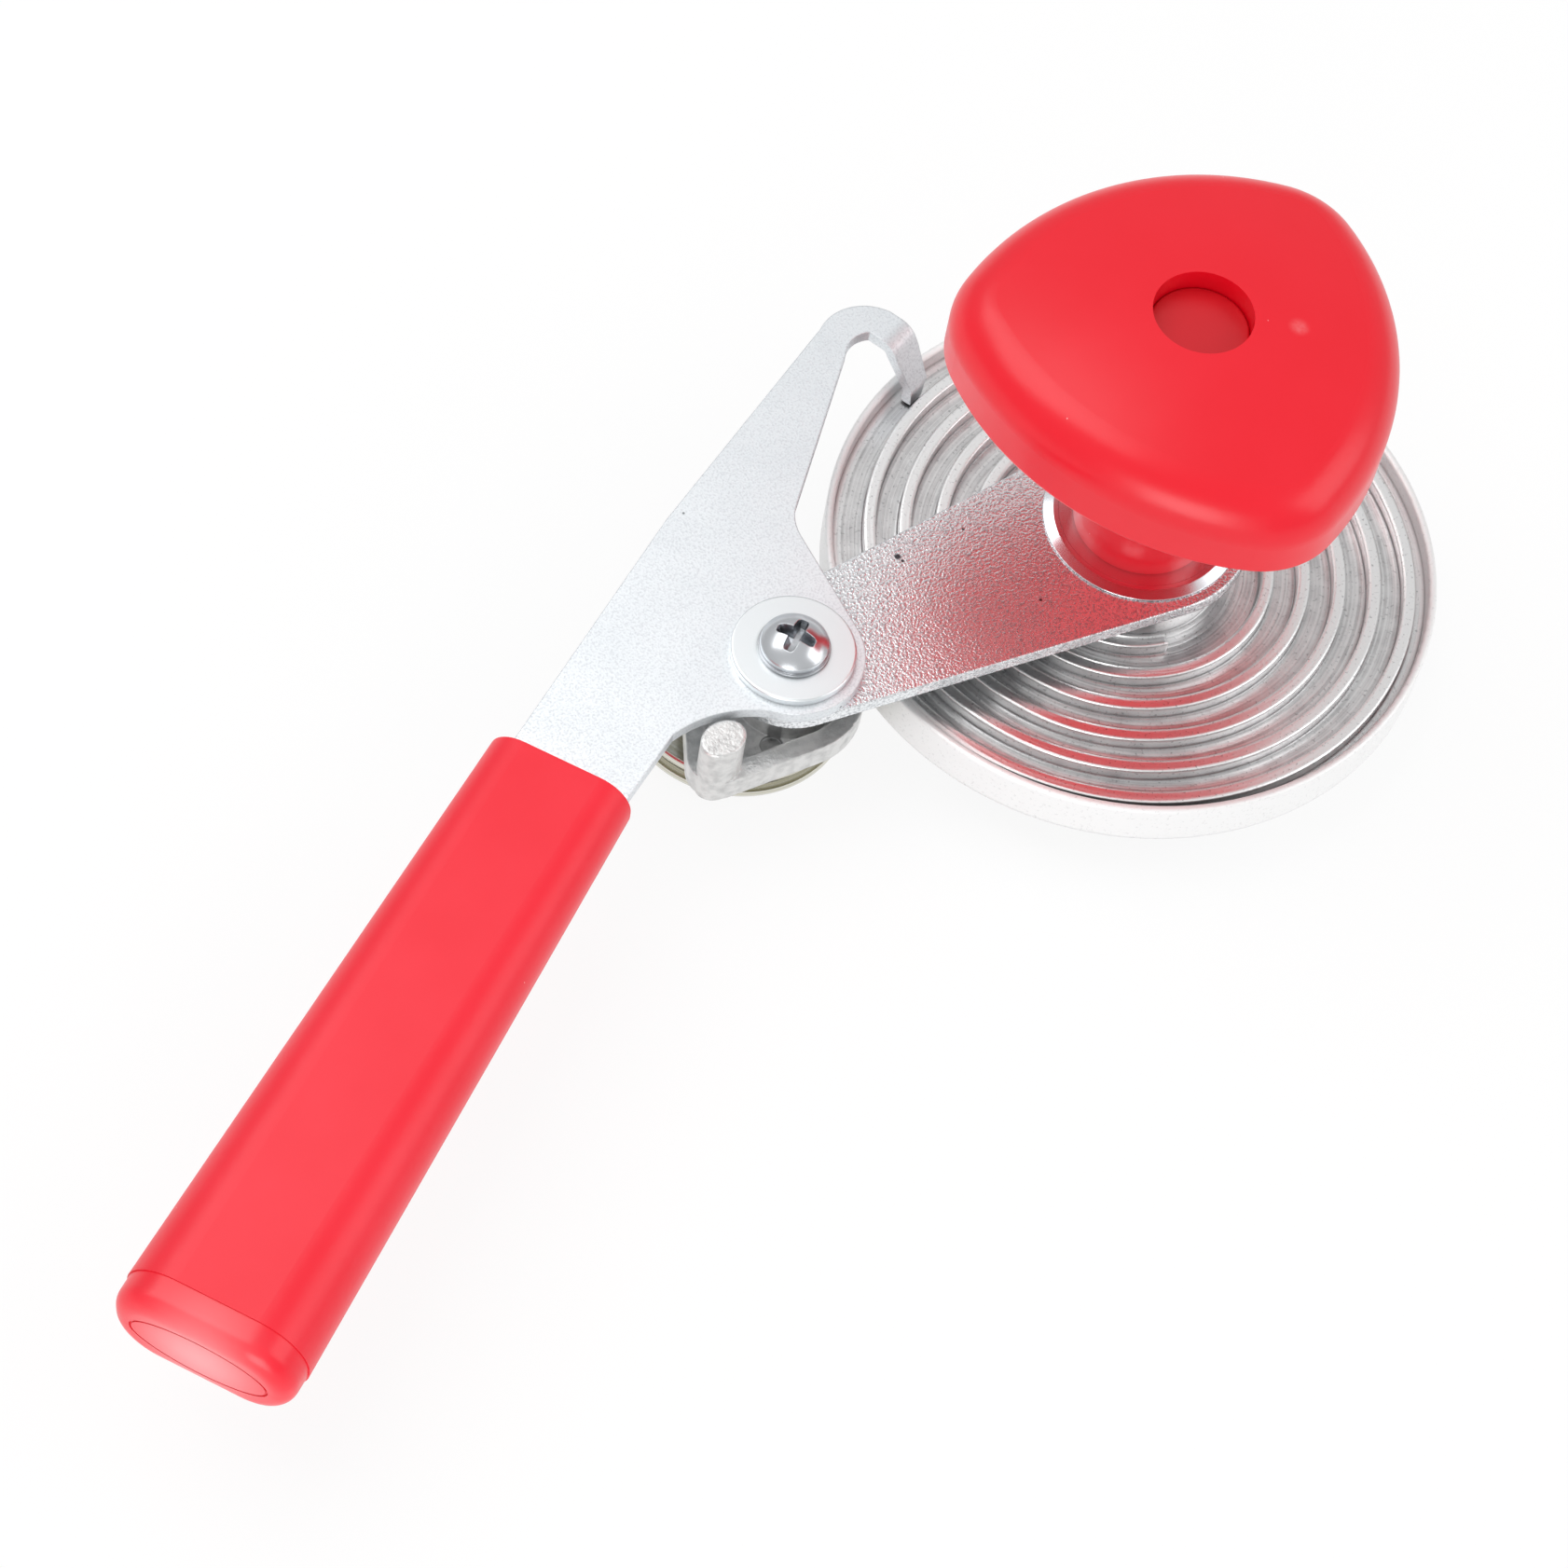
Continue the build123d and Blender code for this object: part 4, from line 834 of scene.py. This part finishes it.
@dataclass
class Lever:
    """Lever plate, grip, carrier and everything that swings with them."""

    plate: PlatedSteel = LEVER_ZINC
    red: MouldedPlastic = GRIP_RED
    cap: MouldedPlastic = CAP_RED
    washer: TurnedMetal = PIVOT_ZINC
    screw: TurnedMetal = SCREW_NICKEL
    casting: RawCasting = CARRIER_CASTING
    pin: TurnedMetal = PIN_STEEL

    def build(self) -> None:
        """Dress the plate, the grip, the pivot stack and the carrier with its pin."""
        coat(self.plate, "lever_plate")
        coat(self.red, "grip")
        coat(self.cap, "grip_end_cap")
        coat(self.washer, "pivot_washer")
        coat(self.screw, "pivot_screw")
        coat(self.casting, "roller_carrier")
        coat(self.pin, "roller_axle", "roller_washers", "circlip")


@dataclass
class Roller:
    """Seaming roller."""

    steel: TurnedMetal = ROLLER_STEEL

    def build(self) -> None:
        """Dress the roller."""
        coat(self.steel, "seaming_roller")


@dataclass
class Bushes:
    """The three plain bushes that the moving parts turn on."""

    bronze: TurnedMetal = BRONZE

    def build(self) -> None:
        """Dress the bushes of the arm, the pivot and the roller."""
        coat(self.bronze, "arm_bush", "pivot_bush", "roller_bush")


@dataclass(frozen=True)
class Softbox:
    """A square lamp: its name, where it hangs and its side, both in metres, and its power in watts."""

    name: str
    place: tuple[float, float, float]
    side: float
    power: float


@dataclass
class Studio:
    """Pale floor, soft lamps and the surrounding light."""

    floor_side: float = 4.0
    floor_gap_mm: float = 0.3
    paper_colour: str = "#f2f2f2"
    paper_glow: float = 0.88
    surround: float = 0.84
    horizon_share: float = 0.8
    horizon_rise: float = 0.6
    aim: tuple[float, float, float] = (-0.03, 0.0, 0.02)
    lamps: tuple[Softbox, ...] = field(default=(
        Softbox("key_softbox", (-0.25, 0.35, 0.75), 0.7, 3.2),
        Softbox("fill_softbox", (0.55, -0.45, 0.5), 0.6, 1.8),
        Softbox("front_softbox", (-0.6, -0.62, 0.24), 0.45, 2.4),
    ))

    def build(self, lowest: float) -> None:
        """Build the floor, the lamps and the world.

        Args:
            lowest: Height of the object's lowest point, in metres.
        """
        self.floor(lowest - self.floor_gap_mm * MM)
        for softbox in self.lamps:
            self.hang(softbox)
        self.world()

    def floor(self, height: float) -> None:
        """Build the plain pale floor.

        Args:
            height: Height of the floor, in metres.
        """
        half = self.floor_side / 2
        mesh = bpy.data.meshes.new("floor")
        points = [(x, y, height) for x, y in ((-half, -half), (half, -half), (half, half), (-half, half))]
        mesh.from_pydata(points, [], [range(len(points))])
        floor = bpy.data.objects.new("floor", mesh)
        bpy.context.scene.collection.objects.link(floor)
        mesh.materials.append(self.paper())
        floor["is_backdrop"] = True
        LOG.info("floor at %.4f m", height)

    def paper(self) -> bpy.types.Material:
        """Make matt white paper that stays white behind the object and keeps its shadow.

        Returns:
            The finished material.
        """
        material = bpy.data.materials.new("white_paper")
        material.use_nodes = True
        tree = material.node_tree
        tree.nodes.clear()
        paper = add_node(tree, Kind.DIFFUSE, {"Color": linear(self.paper_colour)})
        glow = add_node(tree, Kind.EMISSION, {"Color": (1.0, 1.0, 1.0, 1.0), "Strength": 1.0})
        ray = add_node(tree, Kind.RAY)
        seen = ray.outputs["Is Camera Ray"]
        for other in ("Is Glossy Ray", "Is Transmission Ray"):
            seen = add_node(
                tree, Kind.MATH, {0: seen, 1: ray.outputs[other]}, operation="MAXIMUM"
            ).outputs["Value"]
        share = add_node(tree, Kind.MATH, {0: seen, 1: self.paper_glow}, operation="MULTIPLY")
        mixed = add_node(
            tree, Kind.SHADER_MIX,
            {"Fac": share.outputs["Value"], 1: paper.outputs["BSDF"], 2: glow.outputs["Emission"]},
        )
        add_node(tree, Kind.SURFACE, {"Surface": mixed.outputs["Shader"]})
        return material

    def hang(self, softbox: Softbox) -> None:
        """Hang one softbox that faces the object.

        Args:
            softbox: The lamp to hang.
        """
        light = bpy.data.lights.new(softbox.name, "AREA")
        light.shape = "SQUARE"
        light.size = softbox.side
        light.energy = softbox.power
        lamp = bpy.data.objects.new(softbox.name, light)
        lamp.location = softbox.place
        towards = Vector(self.aim) - Vector(softbox.place)
        lamp.rotation_euler = towards.to_track_quat("-Z", "Y").to_euler()
        bpy.context.scene.collection.objects.link(lamp)

    def world(self) -> None:
        """Surround the object with a soft white room that is a little darker near the horizon."""
        world = bpy.data.worlds.new("white_room")
        bpy.context.scene.world = world
        world.use_nodes = True
        tree = world.node_tree
        tree.nodes.clear()
        direction = add_node(tree, Kind.PLACE).outputs["Generated"]
        height = add_node(tree, Kind.SPLIT, {"Vector": direction}).outputs["Z"]
        rise = Ramp(0.0, self.horizon_rise, self.horizon_share * self.surround, self.surround)
        strength = add_node(tree, Kind.RAMP, rise.of(height)).outputs["Result"]
        room = add_node(tree, Kind.BACKGROUND, {"Strength": strength})
        add_node(tree, Kind.WORLD, {"Surface": room.outputs["Background"]})


@dataclass
class PhotoCamera:
    """Camera that stands where the photograph was taken from.

    The focal length and the frame are in pixels of the photograph, and the shift says where the object's
    origin lies to the right of, below and ahead of the camera.
    """

    azimuth: float = -38.4
    elevation: float = 57.43
    roll: float = 11.17
    focal_px: float = 4500.0
    frame_px: float = 1682.0
    shift_mm: tuple[float, float, float] = (52.67, -32.16, 649.51)
    sensor_mm: float = 36.0
    nearest: float = 0.01

    def build(self) -> None:
        """Create the camera and make it the scene's own."""
        turn = math.radians(self.azimuth)
        rise = math.radians(self.elevation)
        roll = math.radians(self.roll)
        level_right = Vector((math.cos(turn), math.sin(turn), 0.0))
        ahead = Vector((-math.sin(turn) * math.cos(rise), math.cos(turn) * math.cos(rise), -math.sin(rise)))
        level_down = ahead.cross(level_right)
        right = level_right * math.cos(roll) - level_down * math.sin(roll)
        down = level_right * math.sin(roll) + level_down * math.cos(roll)
        shift = [value * MM for value in self.shift_mm]
        place = -(right * shift[0] + down * shift[1] + ahead * shift[2])
        data = bpy.data.cameras.new("photo_camera")
        data.sensor_width = self.sensor_mm
        data.lens = self.focal_px / self.frame_px * self.sensor_mm
        data.clip_start = self.nearest
        camera = bpy.data.objects.new("photo_camera", data)
        axes = Matrix((right, -down, -ahead)).transposed().to_4x4()
        camera.matrix_world = Matrix.Translation(place) @ axes
        bpy.context.scene.collection.objects.link(camera)
        bpy.context.scene.camera = camera
        LOG.info("camera at %s", [round(value, 4) for value in place])


def main() -> None:
    """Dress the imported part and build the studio."""
    logging.basicConfig(level=logging.INFO, format="%(name)s %(message)s")
    cad_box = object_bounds()
    lowest = cad_box[0][2]
    for assembly in (Head(), Arm(), Lever(), Roller(), Bushes()):
        assembly.build()
    Studio().build(lowest)
    PhotoCamera().build()
    bpy.context.scene.view_settings.view_transform = "Standard"


if __name__ == "__main__":
    main()
